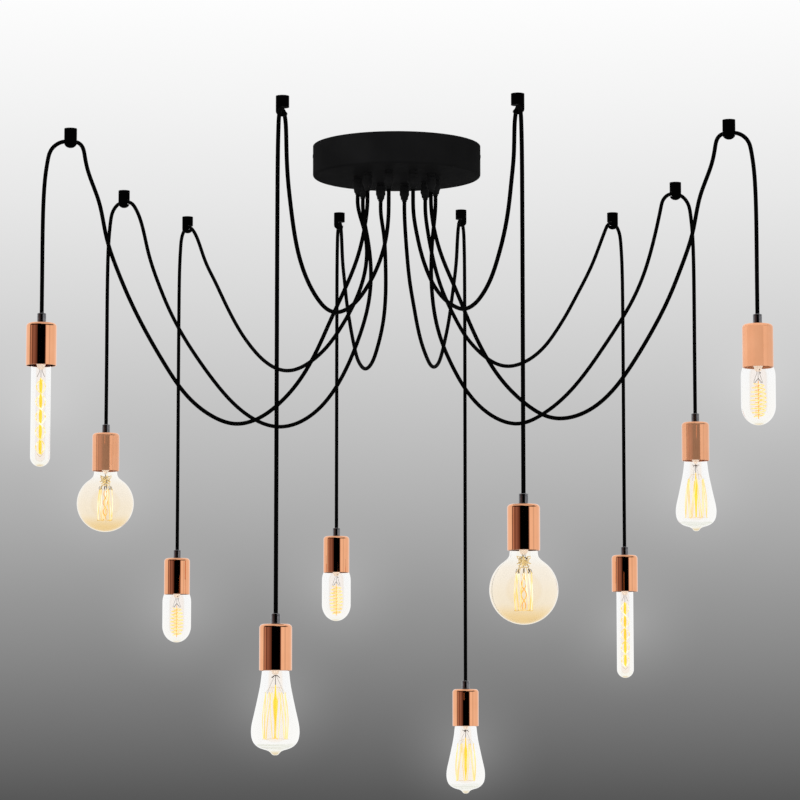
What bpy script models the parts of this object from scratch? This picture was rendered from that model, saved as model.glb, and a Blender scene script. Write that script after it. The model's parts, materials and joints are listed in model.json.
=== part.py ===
"""Spider chandelier: a round ceiling canopy whose ten cords swag out to ten ceiling hooks.

Each cord drops from its hook to a copper lampholder with a filament lamp. Lengths are in
metres. The ceiling is the plane z = 0, +Z is up, and -Y is the side that faces the room.
The origin is the middle of the mounting bracket's top face, where it meets the ceiling.
"""

import math
from typing import NamedTuple

import bmesh
import bpy
import numpy as np
from mathutils import Matrix, Vector

# Fits
TOUCH_GAP = 0.0003
CUT_OVERRUN = 0.004

# Canopy cover
CANOPY_DIAMETER = 0.252
CANOPY_HEIGHT = 0.047
CANOPY_WALL = 0.0012
CANOPY_EDGE_RADIUS = 0.004
CANOPY_SEGMENTS = 36
CANOPY_EDGE_STEPS = 2

# Cord grips, screwed into the canopy's floor
GRIP_COUNT = 10
GRIP_FIRST_ANGLE = math.radians(6.5)
GRIP_RING_RADIUS = 0.0588
GRIP_NECK_DIAMETER = 0.0115
GRIP_NECK_LENGTH = 0.004
GRIP_BODY_DIAMETER = 0.0145
GRIP_BODY_LENGTH = 0.0135
GRIP_TAPER_LENGTH = 0.0065
GRIP_NOSE_DIAMETER = 0.0098
GRIP_NOSE_LENGTH = 0.003
GRIP_SIDES = 8

# Mounting bracket, cover screws and terminal block
BRACKET_WIDTH = 0.020
BRACKET_THICKNESS = 0.002
BRACKET_EAR_DROP = 0.024
BRACKET_EAR_CLEARANCE = 0.0005
CEILING_SLOT_PITCH = 0.070
CEILING_SLOT_WIDTH = 0.005
CEILING_SLOT_LENGTH = 0.012
CEILING_SLOT_END_STEPS = 4
COVER_SCREW_DIAMETER = 0.004
COVER_SCREW_DEPTH = 0.015
COVER_SCREW_LENGTH = 0.008
COVER_SCREW_HEAD_DIAMETER = 0.0065
COVER_SCREW_HEAD_HEIGHT = 0.0009
COVER_SCREW_SIDES = 8
TERMINAL_WAYS = 6
TERMINAL_PITCH = 0.010
TERMINAL_DEPTH = 0.018
TERMINAL_HEIGHT = 0.013
TERMINAL_STEP_HEIGHT = 0.006
TERMINAL_STEP_DEPTH = 0.004
TERMINAL_WELL_WIDTH = 0.005
TERMINAL_WELL_DEPTH = 0.005
TERMINAL_WELL_SIDES = 6

# Cords
CORD_DIAMETER = 0.006
CORD_BEVEL_RESOLUTION = 2
CORD_EXIT_LENGTH = 0.014
SWAG_RUN_PER_POINT = 0.100
SWAG_TURN_PER_POINT = math.radians(20.0)
DROP_RUN_PER_POINT = 1.5
DROP_TURN_PER_POINT = math.radians(15.0)
CURVE_SAMPLES = 600

# Ceiling hooks
HOOK_SPREAD_WIDE = 0.480
HOOK_SPREAD_DEEP = 0.660
HOOK_DIAMETER = 0.0185
HOOK_FLARE = 0.0006
HOOK_FLARE_HEIGHT = 0.0015
HOOK_BARREL_HEIGHT = 0.021
HOOK_HEIGHT = 0.0285
HOOK_CORD_DEPTH = 0.019
HOOK_CORD_CLEARANCE = 0.0011
HOOK_LIP_REACH = 0.006
HOOK_SCREW_HOLE_DIAMETER = 0.0042
HOOK_SCREW_HOLE_SIDES = 6
HOOK_SEGMENTS = 12
HOOK_FOOT_STEPS = 3
HOOK_SLOT_STEPS = 4

# Lampholders
LONGEST_DROP = 0.812
CUP_DIAMETER = 0.044
CUP_HEIGHT = 0.062
CUP_WALL = 0.001
CUP_EDGE_RADIUS = 0.0055
CUP_SEGMENTS = 14
CUP_EDGE_STEPS = 2
NIPPLE_DIAMETER = 0.013
NIPPLE_HEIGHT = 0.014
NIPPLE_CHAMFER = 0.0014
INSERT_RECESS = 0.016
CAP_SEAT_DEPTH = 0.028

# Lamps: a screw cap and a blown glass envelope, open inside through the cap's contact
CAP_DIAMETER = 0.0265
CAP_LENGTH = 0.026
CAP_CLEARANCE = 0.0004
CAP_CONTACT_DIAMETER = 0.010
CAP_CONTACT_TAPER = 0.005
CAP_VENT_DIAMETER = 0.003
GLASS_ROOT_DIAMETER = 0.0262
GLASS_WALL = 0.0012
LONG_TUBE_DIAMETER = 0.0285
LONG_TUBE_GLASS_LENGTH = 0.154
SHORT_TUBE_DIAMETER = 0.049
SHORT_TUBE_GLASS_LENGTH = 0.090
PEAR_DIAMETER = 0.065
PEAR_GLASS_LENGTH = 0.121
GLOBE_DIAMETER = 0.093
GLOBE_GLASS_LENGTH = 0.107
TUBE_SEGMENTS = 12
BALLOON_SEGMENTS = 12

# The way a cord bends off a hook, as (outward, downward) from the hook's cord hole. A swag
# that leaves at a flatter slope follows only the first of these points.
HOOK_BEND = (
    (0.0040, 0.0000),
    (0.0105, 0.0008),
    (0.0166, 0.0030),
    (0.0220, 0.0066),
    (0.0265, 0.0113),
    (0.0297, 0.0169),
    (0.0317, 0.0232),
    (0.0330, 0.0300),
)

# The tighter way in which the outermost swags come down from their hooks
TIGHT_BEND = (
    (0.0055, 0.0001),
    (0.0115, 0.0015),
    (0.0162, 0.0053),
    (0.0190, 0.0108),
    (0.0208, 0.0190),
    (0.0248, 0.0380),
)

# How a drop straightens out below the bend under the weight of its lamp
DROP_TAIL = (
    (0.0357, 0.0490),
    (0.0376, 0.0725),
    (0.0386, 0.1000),
    (0.0390, 0.1300),
)


class Pendant(NamedTuple):
    """One cord with its hook, lampholder and lamp.

    The hook's turn is the cord's heading through it, outwards. Its open side is 1 to the left
    of that heading and -1 to the right.
    """

    number: int
    grip: int
    hook_shares: tuple
    hook_turn: float
    open_side: int
    drop_share: float
    lamp: str
    bend: tuple
    route: tuple


PENDANTS = (
    Pendant(1, 1, (-0.990, -0.217), -166.0, -1, 0.353, "long_tube", TIGHT_BEND, (
        (-0.047, -0.040, -0.125), (-0.058, -0.043, -0.174), (-0.076, -0.047, -0.221),
        (-0.097, -0.052, -0.268), (-0.118, -0.058, -0.316), (-0.144, -0.065, -0.362),
        (-0.175, -0.073, -0.398), (-0.204, -0.080, -0.419), (-0.236, -0.088, -0.427),
        (-0.270, -0.095, -0.416), (-0.305, -0.103, -0.388), (-0.336, -0.110, -0.345),
        (-0.363, -0.117, -0.299), (-0.387, -0.122, -0.252), (-0.407, -0.127, -0.205),
        (-0.423, -0.130, -0.157), (-0.434, -0.133, -0.106))),
    Pendant(2, 9, (-0.931, 0.595), 137.0, -1, 0.488, "globe", HOOK_BEND[:5], (
        (-0.045, 0.030, -0.129), (-0.039, 0.033, -0.182), (-0.043, 0.040, -0.234),
        (-0.058, 0.050, -0.286), (-0.080, 0.064, -0.336), (-0.109, 0.086, -0.378),
        (-0.143, 0.115, -0.403), (-0.181, 0.149, -0.410), (-0.220, 0.184, -0.396),
        (-0.255, 0.215, -0.368), (-0.286, 0.245, -0.332), (-0.315, 0.273, -0.292),
        (-0.342, 0.298, -0.250), (-0.366, 0.320, -0.205), (-0.386, 0.338, -0.158),
        (-0.403, 0.353, -0.108))),
    Pendant(3, 0, (-0.754, 1.000), 115.0, -1, 0.724, "short_tube", HOOK_BEND[:3], (
        (-0.049, -0.002, -0.126), (-0.046, 0.013, -0.176), (-0.059, 0.036, -0.221),
        (-0.081, 0.069, -0.259), (-0.105, 0.109, -0.288), (-0.130, 0.153, -0.306),
        (-0.154, 0.200, -0.314), (-0.176, 0.248, -0.312), (-0.197, 0.296, -0.301),
        (-0.218, 0.343, -0.282), (-0.238, 0.388, -0.257), (-0.257, 0.430, -0.228),
        (-0.275, 0.470, -0.195), (-0.292, 0.508, -0.160), (-0.309, 0.545, -0.124),
        (-0.326, 0.582, -0.088))),
    Pendant(4, 2, (-0.327, -0.576), -97.0, 1, 0.895, "pear", HOOK_BEND, (
        (-0.012, -0.059, -0.111), (-0.015, -0.066, -0.145), (-0.022, -0.080, -0.177),
        (-0.032, -0.100, -0.206), (-0.044, -0.125, -0.232), (-0.057, -0.153, -0.254),
        (-0.071, -0.183, -0.270), (-0.085, -0.215, -0.279), (-0.099, -0.247, -0.278),
        (-0.112, -0.277, -0.266), (-0.124, -0.303, -0.246), (-0.134, -0.322, -0.219),
        (-0.141, -0.335, -0.187), (-0.146, -0.342, -0.151), (-0.150, -0.346, -0.114),
        (-0.152, -0.348, -0.082))),
    Pendant(5, 8, (-0.206, 0.936), 97.0, -1, 0.680, "short_tube", HOOK_BEND[:5], (
        (-0.020, 0.056, -0.122), (-0.017, 0.063, -0.169), (-0.017, 0.079, -0.213),
        (-0.021, 0.108, -0.253), (-0.029, 0.145, -0.284), (-0.037, 0.184, -0.303),
        (-0.045, 0.223, -0.310), (-0.052, 0.263, -0.307), (-0.058, 0.304, -0.297),
        (-0.064, 0.347, -0.281), (-0.069, 0.389, -0.259), (-0.074, 0.429, -0.233),
        (-0.079, 0.466, -0.203), (-0.084, 0.500, -0.169), (-0.088, 0.530, -0.132),
        (-0.092, 0.558, -0.092))),
    Pendant(6, 7, (0.227, 0.891), 80.0, 1, 1.000, "pear", HOOK_BEND[:5], (
        (0.013, 0.064, -0.117), (0.016, 0.079, -0.156), (0.020, 0.102, -0.191),
        (0.026, 0.132, -0.223), (0.032, 0.166, -0.251), (0.039, 0.205, -0.274),
        (0.047, 0.245, -0.291), (0.054, 0.287, -0.299), (0.061, 0.329, -0.297),
        (0.068, 0.370, -0.285), (0.074, 0.408, -0.264), (0.080, 0.442, -0.236),
        (0.086, 0.471, -0.204), (0.091, 0.496, -0.168), (0.096, 0.517, -0.130),
        (0.100, 0.535, -0.092))),
    Pendant(7, 3, (0.347, -0.600), -84.0, -1, 0.698, "globe", HOOK_BEND, (
        (0.025, -0.058, -0.109), (0.030, -0.068, -0.144), (0.037, -0.084, -0.177),
        (0.046, -0.105, -0.207), (0.057, -0.130, -0.233), (0.070, -0.158, -0.253),
        (0.083, -0.189, -0.267), (0.096, -0.221, -0.275), (0.109, -0.253, -0.273),
        (0.121, -0.284, -0.262), (0.132, -0.311, -0.243), (0.141, -0.333, -0.217),
        (0.149, -0.348, -0.186), (0.155, -0.357, -0.151), (0.159, -0.362, -0.114),
        (0.162, -0.364, -0.082))),
    Pendant(8, 6, (0.769, 0.936), 61.0, 1, 0.720, "long_tube", HOOK_BEND[:5], (
        (0.047, 0.044, -0.121), (0.056, 0.060, -0.165), (0.069, 0.084, -0.205),
        (0.087, 0.115, -0.240), (0.106, 0.151, -0.268), (0.128, 0.191, -0.288),
        (0.151, 0.233, -0.300), (0.174, 0.275, -0.302), (0.197, 0.316, -0.294),
        (0.220, 0.356, -0.278), (0.242, 0.394, -0.255), (0.262, 0.430, -0.226),
        (0.281, 0.464, -0.194), (0.299, 0.496, -0.160), (0.317, 0.527, -0.125),
        (0.333, 0.556, -0.090))),
    Pendant(9, 5, (0.935, 0.477), 38.0, 1, 0.475, "pear", HOOK_BEND[:7], (
        (0.055, 0.007, -0.127), (0.052, 0.010, -0.179), (0.054, 0.015, -0.229),
        (0.064, 0.022, -0.281), (0.085, 0.033, -0.331), (0.113, 0.051, -0.374),
        (0.147, 0.077, -0.401), (0.186, 0.107, -0.409), (0.224, 0.136, -0.392),
        (0.259, 0.163, -0.363), (0.291, 0.188, -0.326), (0.320, 0.212, -0.285),
        (0.347, 0.234, -0.244), (0.372, 0.254, -0.202), (0.392, 0.270, -0.158),
        (0.408, 0.283, -0.108))),
    Pendant(10, 4, (0.994, -0.317), -23.0, 1, 0.366, "short_tube", TIGHT_BEND, (
        (0.055, -0.031, -0.125), (0.068, -0.036, -0.174), (0.087, -0.043, -0.221),
        (0.106, -0.051, -0.269), (0.127, -0.061, -0.316), (0.153, -0.073, -0.359),
        (0.187, -0.088, -0.396), (0.229, -0.105, -0.420), (0.272, -0.122, -0.414),
        (0.310, -0.138, -0.386), (0.341, -0.152, -0.345), (0.368, -0.164, -0.300),
        (0.391, -0.173, -0.255), (0.410, -0.181, -0.208), (0.426, -0.187, -0.159),
        (0.437, -0.191, -0.107))),
)

# Glass outlines as (radius share of the lamp's radius, depth share of the glass length)
LONG_TUBE_SHOULDER_SHARES = ((1.0, 0.035),)
LONG_TUBE_DOME_START_SHARE = 0.905
SHORT_TUBE_SHOULDER_SHARES = ((0.82, 0.080), (0.93, 0.145), (1.0, 0.240))
SHORT_TUBE_DOME_START_SHARE = 0.690
GLOBE_NECK_SHARES = ((0.395, 0.070), (0.415, 0.130))
GLOBE_BALL_START_ANGLE = math.radians(57.0)
PEAR_OUTLINE_SHARES = (
    (0.555, 0.066), (0.615, 0.200), (0.735, 0.370), (0.900, 0.570), (1.000, 0.735),
    (0.930, 0.835), (0.700, 0.910), (0.270, 0.950), (0.150, 0.985))
DOME_STEPS = 3
BALL_STEPS = 7


def remove_all_objects():
    """Empty the scene."""
    for thing in list(bpy.data.objects):
        bpy.data.objects.remove(thing, do_unlink=True)


def finish(name, colour, roughness, metallic, transmission=0.0):
    """Return a Principled material."""
    material = bpy.data.materials.new(name)
    material.use_nodes = True
    shader = material.node_tree.nodes["Principled BSDF"]
    shader.inputs["Base Color"].default_value = (*colour, 1.0)
    shader.inputs["Roughness"].default_value = roughness
    shader.inputs["Metallic"].default_value = metallic
    shader.inputs["Transmission Weight"].default_value = transmission
    material.diffuse_color = (*colour, 1.0)
    return material


def add_object(name, data, material, parent=None):
    """Put a mesh or curve in the scene under its node's name."""
    thing = bpy.data.objects.new(name, data)
    bpy.context.scene.collection.objects.link(thing)
    if material is not None and not data.materials:
        data.materials.append(material)
    thing.parent = parent
    return thing


def add_empty(name, location, parent=None):
    """Put an empty on a joint's axis."""
    empty = bpy.data.objects.new(name, None)
    bpy.context.scene.collection.objects.link(empty)
    empty.parent = parent
    empty.location = location
    return empty


def close_mesh(name, bm, smooth_angle=math.radians(40.0)):
    """Turn a bmesh into a mesh with outward faces and smooth round sides."""
    bmesh.ops.remove_doubles(bm, verts=bm.verts, dist=TOUCH_GAP / 10)
    bmesh.ops.recalc_face_normals(bm, faces=bm.faces)
    mesh = bpy.data.meshes.new(name)
    bm.to_mesh(mesh)
    bm.free()
    mesh.shade_smooth()
    mesh.set_sharp_from_angle(angle=smooth_angle)
    return mesh


def lathe(name, profile, segments):
    """Turn a profile of (radius, height) points about the Z axis.

    An open profile starts and ends on the axis. A closed one goes round a wall.
    """
    bm = bmesh.new()
    verts = [bm.verts.new((radius, 0.0, height)) for radius, height in profile]
    edges = [bm.edges.new(pair) for pair in zip(verts, verts[1:])]
    if profile[0][0] > 0.0:
        edges.append(bm.edges.new((verts[-1], verts[0])))
    bmesh.ops.spin(bm, geom=verts + edges, cent=(0.0, 0.0, 0.0), axis=(0.0, 0.0, 1.0),
                   angle=math.tau, steps=segments, use_merge=True)
    return close_mesh(name, bm)


def extrude_outline(name, outline, depth):
    """Extrude an outline of (across, up) points along Y, centred on it."""
    bm = bmesh.new()
    face = bm.faces.new([bm.verts.new((x, -depth / 2, z)) for x, z in outline])
    swept = bmesh.ops.extrude_face_region(bm, geom=[face])["geom"]
    moved = [item for item in swept if isinstance(item, bmesh.types.BMVert)]
    bmesh.ops.translate(bm, verts=moved, vec=(0.0, depth, 0.0))
    return close_mesh(name, bm)


def transformed(mesh, matrix):
    """Move a mesh by a matrix and return it."""
    mesh.transform(matrix)
    return mesh


def joined(name, meshes):
    """Join meshes that stay separate bodies into one mesh for a Boolean."""
    bm = bmesh.new()
    for mesh in meshes:
        bm.from_mesh(mesh)
    result = bpy.data.meshes.new(name)
    bm.to_mesh(result)
    bm.free()
    return result


def boolean(mesh, tool, operation):
    """Return a new mesh that is the union or difference of two meshes."""
    body = add_object("boolean_body", mesh, None)
    cutter = add_object("boolean_tool", tool, None)
    modifier = body.modifiers.new("boolean", "BOOLEAN")
    modifier.solver = "EXACT"
    modifier.operation = operation
    modifier.object = cutter
    bpy.context.view_layer.update()
    evaluated = body.evaluated_get(bpy.context.evaluated_depsgraph_get())
    result = bpy.data.meshes.new_from_object(evaluated)
    result.name = mesh.name
    bpy.data.objects.remove(body)
    bpy.data.objects.remove(cutter)
    result.shade_smooth()
    result.set_sharp_from_angle(angle=math.radians(40.0))
    return result


def quarter_round(radius, height, start_height, steps):
    """Points of a quarter ellipse from full radius down to the axis."""
    points = []
    for step in range(steps + 1):
        angle = math.pi / 2 * step / steps
        points.append((radius * math.cos(angle), start_height - height * math.sin(angle)))
    points[-1] = (0.0, points[-1][1])
    return points


def smooth_curve(points):
    """Return a natural cubic curve through the points, by chord length, as dense samples."""
    knots = np.array(points, dtype=float)
    steps = np.linalg.norm(np.diff(knots, axis=0), axis=1)
    at = np.concatenate(([0.0], np.cumsum(steps)))
    count = len(knots)
    matrix = np.eye(count)
    right = np.zeros_like(knots)
    for i in range(1, count - 1):
        before, after = steps[i - 1], steps[i]
        matrix[i, i - 1:i + 2] = (before, 2 * (before + after), after)
        right[i] = 6 * ((knots[i + 1] - knots[i]) / after - (knots[i] - knots[i - 1]) / before)
    bend = np.linalg.solve(matrix, right)
    where = np.linspace(0.0, at[-1], CURVE_SAMPLES)
    span = np.clip(np.searchsorted(at, where, side="right") - 1, 0, count - 2)
    width = steps[span][:, None]
    low = (where - at[span])[:, None]
    high = width - low
    return ((bend[span] * high ** 3 + bend[span + 1] * low ** 3) / (6 * width)
            + (knots[span] / width - bend[span] * width / 6) * high
            + (knots[span + 1] / width - bend[span + 1] * width / 6) * low)


def stations(samples, run_per_point, turn_per_point):
    """Pick points along a curve: close together in a bend, far apart on a straight run."""
    runs = np.diff(samples, axis=0)
    lengths = np.linalg.norm(runs, axis=1)
    headings = runs / lengths[:, None]
    cosines = np.clip(np.sum(headings[1:] * headings[:-1], axis=1), -1.0, 1.0)
    turns = np.concatenate(([0.0], np.arccos(cosines)))
    effort = np.concatenate(([0.0], np.cumsum(lengths / run_per_point + turns / turn_per_point)))
    wanted = np.linspace(0.0, effort[-1], int(math.ceil(effort[-1])) + 1)
    return np.stack([np.interp(wanted, effort, samples[:, i]) for i in range(3)], axis=1)


def cord_points(knots, run_per_point, turn_per_point):
    """Return a cord's tube points: its two straight ends and the stations between them."""
    samples = smooth_curve(knots)
    run = np.concatenate(([0.0], np.cumsum(np.linalg.norm(np.diff(samples, axis=0), axis=1))))
    first = (knots[1] - knots[0]).length
    last = (knots[-1] - knots[-2]).length
    between = samples[(run > first) & (run < run[-1] - last)]
    picked = stations(between, run_per_point, turn_per_point)[1:-1]
    return [knots[0], knots[1], *(Vector(point) for point in picked), knots[-2], knots[-1]]


def cord_tube(name, points, material, parent=None, origin=Vector()):
    """Sweep the cord's round section along points given in the world."""
    curve = bpy.data.curves.new(name, "CURVE")
    curve.dimensions = "3D"
    curve.bevel_depth = CORD_DIAMETER / 2
    curve.bevel_resolution = CORD_BEVEL_RESOLUTION
    curve.use_fill_caps = True
    spline = curve.splines.new("POLY")
    spline.points.add(len(points) - 1)
    for target, point in zip(spline.points, points):
        target.co = (*(point - origin), 1.0)
    return add_object(name, curve, material, parent)


def grip_place(index):
    """Return the place of a cord grip on its ring, at the canopy's underside."""
    angle = GRIP_FIRST_ANGLE + math.tau * index / GRIP_COUNT
    return Vector((-GRIP_RING_RADIUS * math.cos(angle), -GRIP_RING_RADIUS * math.sin(angle),
                   -CANOPY_HEIGHT))


def grip_length():
    """Return how far a cord grip stands out of the canopy."""
    return GRIP_NECK_LENGTH + GRIP_BODY_LENGTH + GRIP_TAPER_LENGTH + GRIP_NOSE_LENGTH


def hook_place(pendant):
    """Return the middle of a hook's base on the ceiling."""
    wide, deep = pendant.hook_shares
    return Vector((wide * HOOK_SPREAD_WIDE, deep * HOOK_SPREAD_DEEP, 0.0))


def hook_heading(pendant):
    """Return the level direction in which the cord passes through its hook, outwards."""
    turn = math.radians(pendant.hook_turn)
    return Vector((math.cos(turn), math.sin(turn), 0.0))


def cord_hole(pendant):
    """Return the middle of the hook's cord hole, where the drop swings."""
    return hook_place(pendant) - Vector((0.0, 0.0, HOOK_CORD_DEPTH))


def off_hook(pendant, outward, downward):
    """Return a point beside the hook's cord hole."""
    return cord_hole(pendant) + hook_heading(pendant) * outward - Vector((0.0, 0.0, downward))


def drop_axis(pendant):
    """Return the point straight above the lampholder, level with the ceiling."""
    reach = DROP_TAIL[-1][0]
    return hook_place(pendant) + hook_heading(pendant) * reach


def swag_knots(pendant):
    """Return the points of the swag's route from its grip's mouth into the hook."""
    mouth = grip_place(pendant.grip) - Vector((0.0, 0.0, grip_length() + TOUCH_GAP))
    knots = [mouth, mouth - Vector((0.0, 0.0, CORD_EXIT_LENGTH))]
    knots += [Vector(point) for point in pendant.route]
    knots += [off_hook(pendant, -outward, downward)
              for outward, downward in reversed(pendant.bend)]
    knots.append(off_hook(pendant, -TOUCH_GAP / 2, 0.0))
    return knots


def drop_knots(pendant):
    """Return the points of the drop's route from inside the hook to the lampholder's nipple."""
    knots = [off_hook(pendant, TOUCH_GAP / 2, 0.0)]
    knots += [off_hook(pendant, outward, downward) for outward, downward in HOOK_BEND + DROP_TAIL]
    end = drop_axis(pendant)
    end.z = -pendant.drop_share * LONGEST_DROP + NIPPLE_HEIGHT + TOUCH_GAP
    knots.append(knots[-1].lerp(end, 0.5))
    knots.append(end)
    return knots


def grip_mesh():
    """Model one cord grip, from the canopy's floor down to the nose."""
    neck = GRIP_NECK_DIAMETER / 2
    body = GRIP_BODY_DIAMETER / 2
    nose = GRIP_NOSE_DIAMETER / 2
    body_top = -GRIP_NECK_LENGTH
    taper_top = body_top - GRIP_BODY_LENGTH
    nose_top = taper_top - GRIP_TAPER_LENGTH
    profile = (
        (0.0, CANOPY_WALL / 2), (neck, CANOPY_WALL / 2), (neck, body_top), (body, body_top),
        (body, taper_top), (nose, nose_top), (nose, -grip_length()), (0.0, -grip_length()))
    return lathe("cord_grip", profile, GRIP_SIDES)


def canopy_mesh():
    """Model the pressed canopy: a shallow round cup, open at the ceiling, with its ten grips."""
    outer = CANOPY_DIAMETER / 2
    inner = outer - CANOPY_WALL
    floor = -CANOPY_HEIGHT
    edge = min(CANOPY_EDGE_RADIUS, CANOPY_HEIGHT / 2)
    outside = [(outer, 0.0)]
    for step in range(CANOPY_EDGE_STEPS + 1):
        angle = math.pi / 2 * step / CANOPY_EDGE_STEPS
        outside.append((outer - edge * (1 - math.cos(angle)), floor + edge * (1 - math.sin(angle))))
    inside = [(0.0, floor + CANOPY_WALL), (inner - edge, floor + CANOPY_WALL),
              (inner, floor + edge + CANOPY_WALL), (inner, 0.0)]
    bm = bmesh.new()
    profile = outside + [(0.0, floor)]
    verts = [bm.verts.new((radius, 0.0, height)) for radius, height in profile + inside]
    edges = [bm.edges.new((first, second)) for first, second in zip(verts, verts[1:])
             if first.co.x > 0.0 or second.co.x > 0.0]
    edges.append(bm.edges.new((verts[-1], verts[0])))
    bmesh.ops.spin(bm, geom=verts + edges, cent=(0.0, 0.0, 0.0), axis=(0.0, 0.0, 1.0),
                   angle=math.tau, steps=CANOPY_SEGMENTS, use_merge=True)
    shell = close_mesh("canopy_cover", bm)
    grips = [transformed(grip_mesh(), Matrix.Translation(grip_place(i))) for i in range(GRIP_COUNT)]
    return boolean(shell, joined("grips", grips), "UNION")


def across_x(mesh):
    """Turn a mesh that was turned about Z so that its axis lies along +X."""
    return transformed(mesh, Matrix.Rotation(math.pi / 2, 4, "Y"))


def rod_profile(radius, length):
    """Return the profile of a plain rod that starts at z = 0 and goes down."""
    return ((0.0, 0.0), (radius, 0.0), (radius, -length), (0.0, -length))


def rod(name, radius, low, high, sides):
    """Model a plain rod along Z from low to high."""
    return transformed(lathe(name, rod_profile(radius, high - low), sides),
                       Matrix.Translation((0.0, 0.0, high)))


def ear_face():
    """Return how far from the middle the outer face of each bracket ear stands."""
    inner = (CANOPY_DIAMETER / 2 - CANOPY_WALL) * math.cos(math.pi / CANOPY_SEGMENTS)
    return math.sqrt(inner ** 2 - (BRACKET_WIDTH / 2) ** 2) - BRACKET_EAR_CLEARANCE


def screw_bore(radius):
    """Model a long rod on the cover screws' axis, through both sides of the canopy."""
    reach = CANOPY_DIAMETER / 2 + CUT_OVERRUN
    bore = across_x(rod("screw_bore", radius, -reach, reach, COVER_SCREW_SIDES))
    return transformed(bore, Matrix.Translation((0.0, 0.0, -COVER_SCREW_DEPTH)))


def bracket_mesh():
    """Model the mounting bracket: a strip with two ears turned down inside the canopy."""
    face = ear_face()
    back = face - BRACKET_THICKNESS
    outline = (
        (-face, 0.0), (face, 0.0), (face, -BRACKET_EAR_DROP), (back, -BRACKET_EAR_DROP),
        (back, -BRACKET_THICKNESS), (-back, -BRACKET_THICKNESS), (-back, -BRACKET_EAR_DROP),
        (-face, -BRACKET_EAR_DROP))
    strip = extrude_outline("mounting_bracket", outline, BRACKET_WIDTH)
    cuts = []
    half = CEILING_SLOT_WIDTH / 2
    straight = (CEILING_SLOT_LENGTH - CEILING_SLOT_WIDTH) / 2
    for side in (-1, 1):
        middle = side * CEILING_SLOT_PITCH / 2
        slot = []
        for step in range(CEILING_SLOT_END_STEPS + 1):
            angle = math.pi * step / CEILING_SLOT_END_STEPS
            slot.append((middle + straight + half * math.sin(angle), half * math.cos(angle)))
        slot += [(2 * middle - x, -y) for x, y in slot]
        cutter = extrude_outline("slot", slot, BRACKET_THICKNESS + 2 * CUT_OVERRUN)
        cuts.append(transformed(cutter, Matrix.Rotation(math.pi / 2, 4, "X")))
    cuts.append(screw_bore(COVER_SCREW_DIAMETER / 2 + TOUCH_GAP))
    return boolean(strip, joined("bracket_cuts", cuts), "DIFFERENCE")


def cover_screw_mesh():
    """Model a cover screw: a low round head outside the canopy, its shank through the ear."""
    head = COVER_SCREW_HEAD_DIAMETER / 2
    shank = COVER_SCREW_DIAMETER / 2
    crown = COVER_SCREW_HEAD_HEIGHT
    profile = (
        (0.0, crown), (head / 2, crown), (head, crown / 3), (head, 0.0), (shank, 0.0),
        (shank, -COVER_SCREW_LENGTH), (0.0, -COVER_SCREW_LENGTH))
    return lathe("cover_screw", profile, COVER_SCREW_SIDES)


def terminal_block_mesh():
    """Model the terminal block: a stepped plastic strip with a screw well for each way."""
    half = TERMINAL_DEPTH / 2
    step = half - TERMINAL_STEP_DEPTH
    shoulder = TERMINAL_STEP_HEIGHT - TERMINAL_HEIGHT
    outline = (
        (-half, 0.0), (half, 0.0), (half, shoulder), (step, shoulder), (step, -TERMINAL_HEIGHT),
        (-step, -TERMINAL_HEIGHT), (-step, shoulder), (-half, shoulder))
    length = TERMINAL_WAYS * TERMINAL_PITCH
    strip = extrude_outline("terminal_block", outline, length)
    strip = transformed(strip, Matrix.Rotation(math.pi / 2, 4, "Z"))
    wells = []
    for way in range(TERMINAL_WAYS):
        along = (way + 0.5) * TERMINAL_PITCH - length / 2
        well = rod("well", TERMINAL_WELL_WIDTH / 2, -CUT_OVERRUN, TERMINAL_WELL_DEPTH,
                   TERMINAL_WELL_SIDES)
        wells.append(transformed(well, Matrix.Translation((along, 0.0, -TERMINAL_HEIGHT))))
    return boolean(strip, joined("wells", wells), "DIFFERENCE")


def hook_mesh():
    """Model a ceiling hook: a short post whose foot is a lip, open on one side for the cord.

    The cord runs along X at the hook's cord depth, and the open side is +Y.
    """
    radius = HOOK_DIAMETER / 2
    flare = radius + HOOK_FLARE
    foot = HOOK_HEIGHT - HOOK_BARREL_HEIGHT
    profile = [(0.0, 0.0), (flare, 0.0), (radius, -HOOK_FLARE_HEIGHT)]
    profile += quarter_round(radius, foot, -HOOK_BARREL_HEIGHT, HOOK_FOOT_STEPS)
    post = lathe("ceiling_hook", profile, HOOK_SEGMENTS)
    half = CORD_DIAMETER / 2 + HOOK_CORD_CLEARANCE
    beyond = flare + CUT_OVERRUN
    below = -HOOK_HEIGHT - CUT_OVERRUN
    slot = []
    for step in range(HOOK_SLOT_STEPS + 1):
        angle = math.pi * step / HOOK_SLOT_STEPS
        slot.append((-half * math.sin(angle), -HOOK_CORD_DEPTH - half * math.cos(angle)))
    slot += [(beyond, -HOOK_CORD_DEPTH + half), (beyond, below), (HOOK_LIP_REACH, below),
             (HOOK_LIP_REACH, -HOOK_CORD_DEPTH - half)]
    cutter = transformed(extrude_outline("cord_slot", slot, 2 * beyond),
                         Matrix.Rotation(math.pi / 2, 4, "Z"))
    screw = rod("screw_hole", HOOK_SCREW_HOLE_DIAMETER / 2, -HOOK_CORD_DEPTH, CUT_OVERRUN,
                HOOK_SCREW_HOLE_SIDES)
    post = boolean(post, cutter, "DIFFERENCE")
    return boolean(post, screw, "DIFFERENCE")


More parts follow.
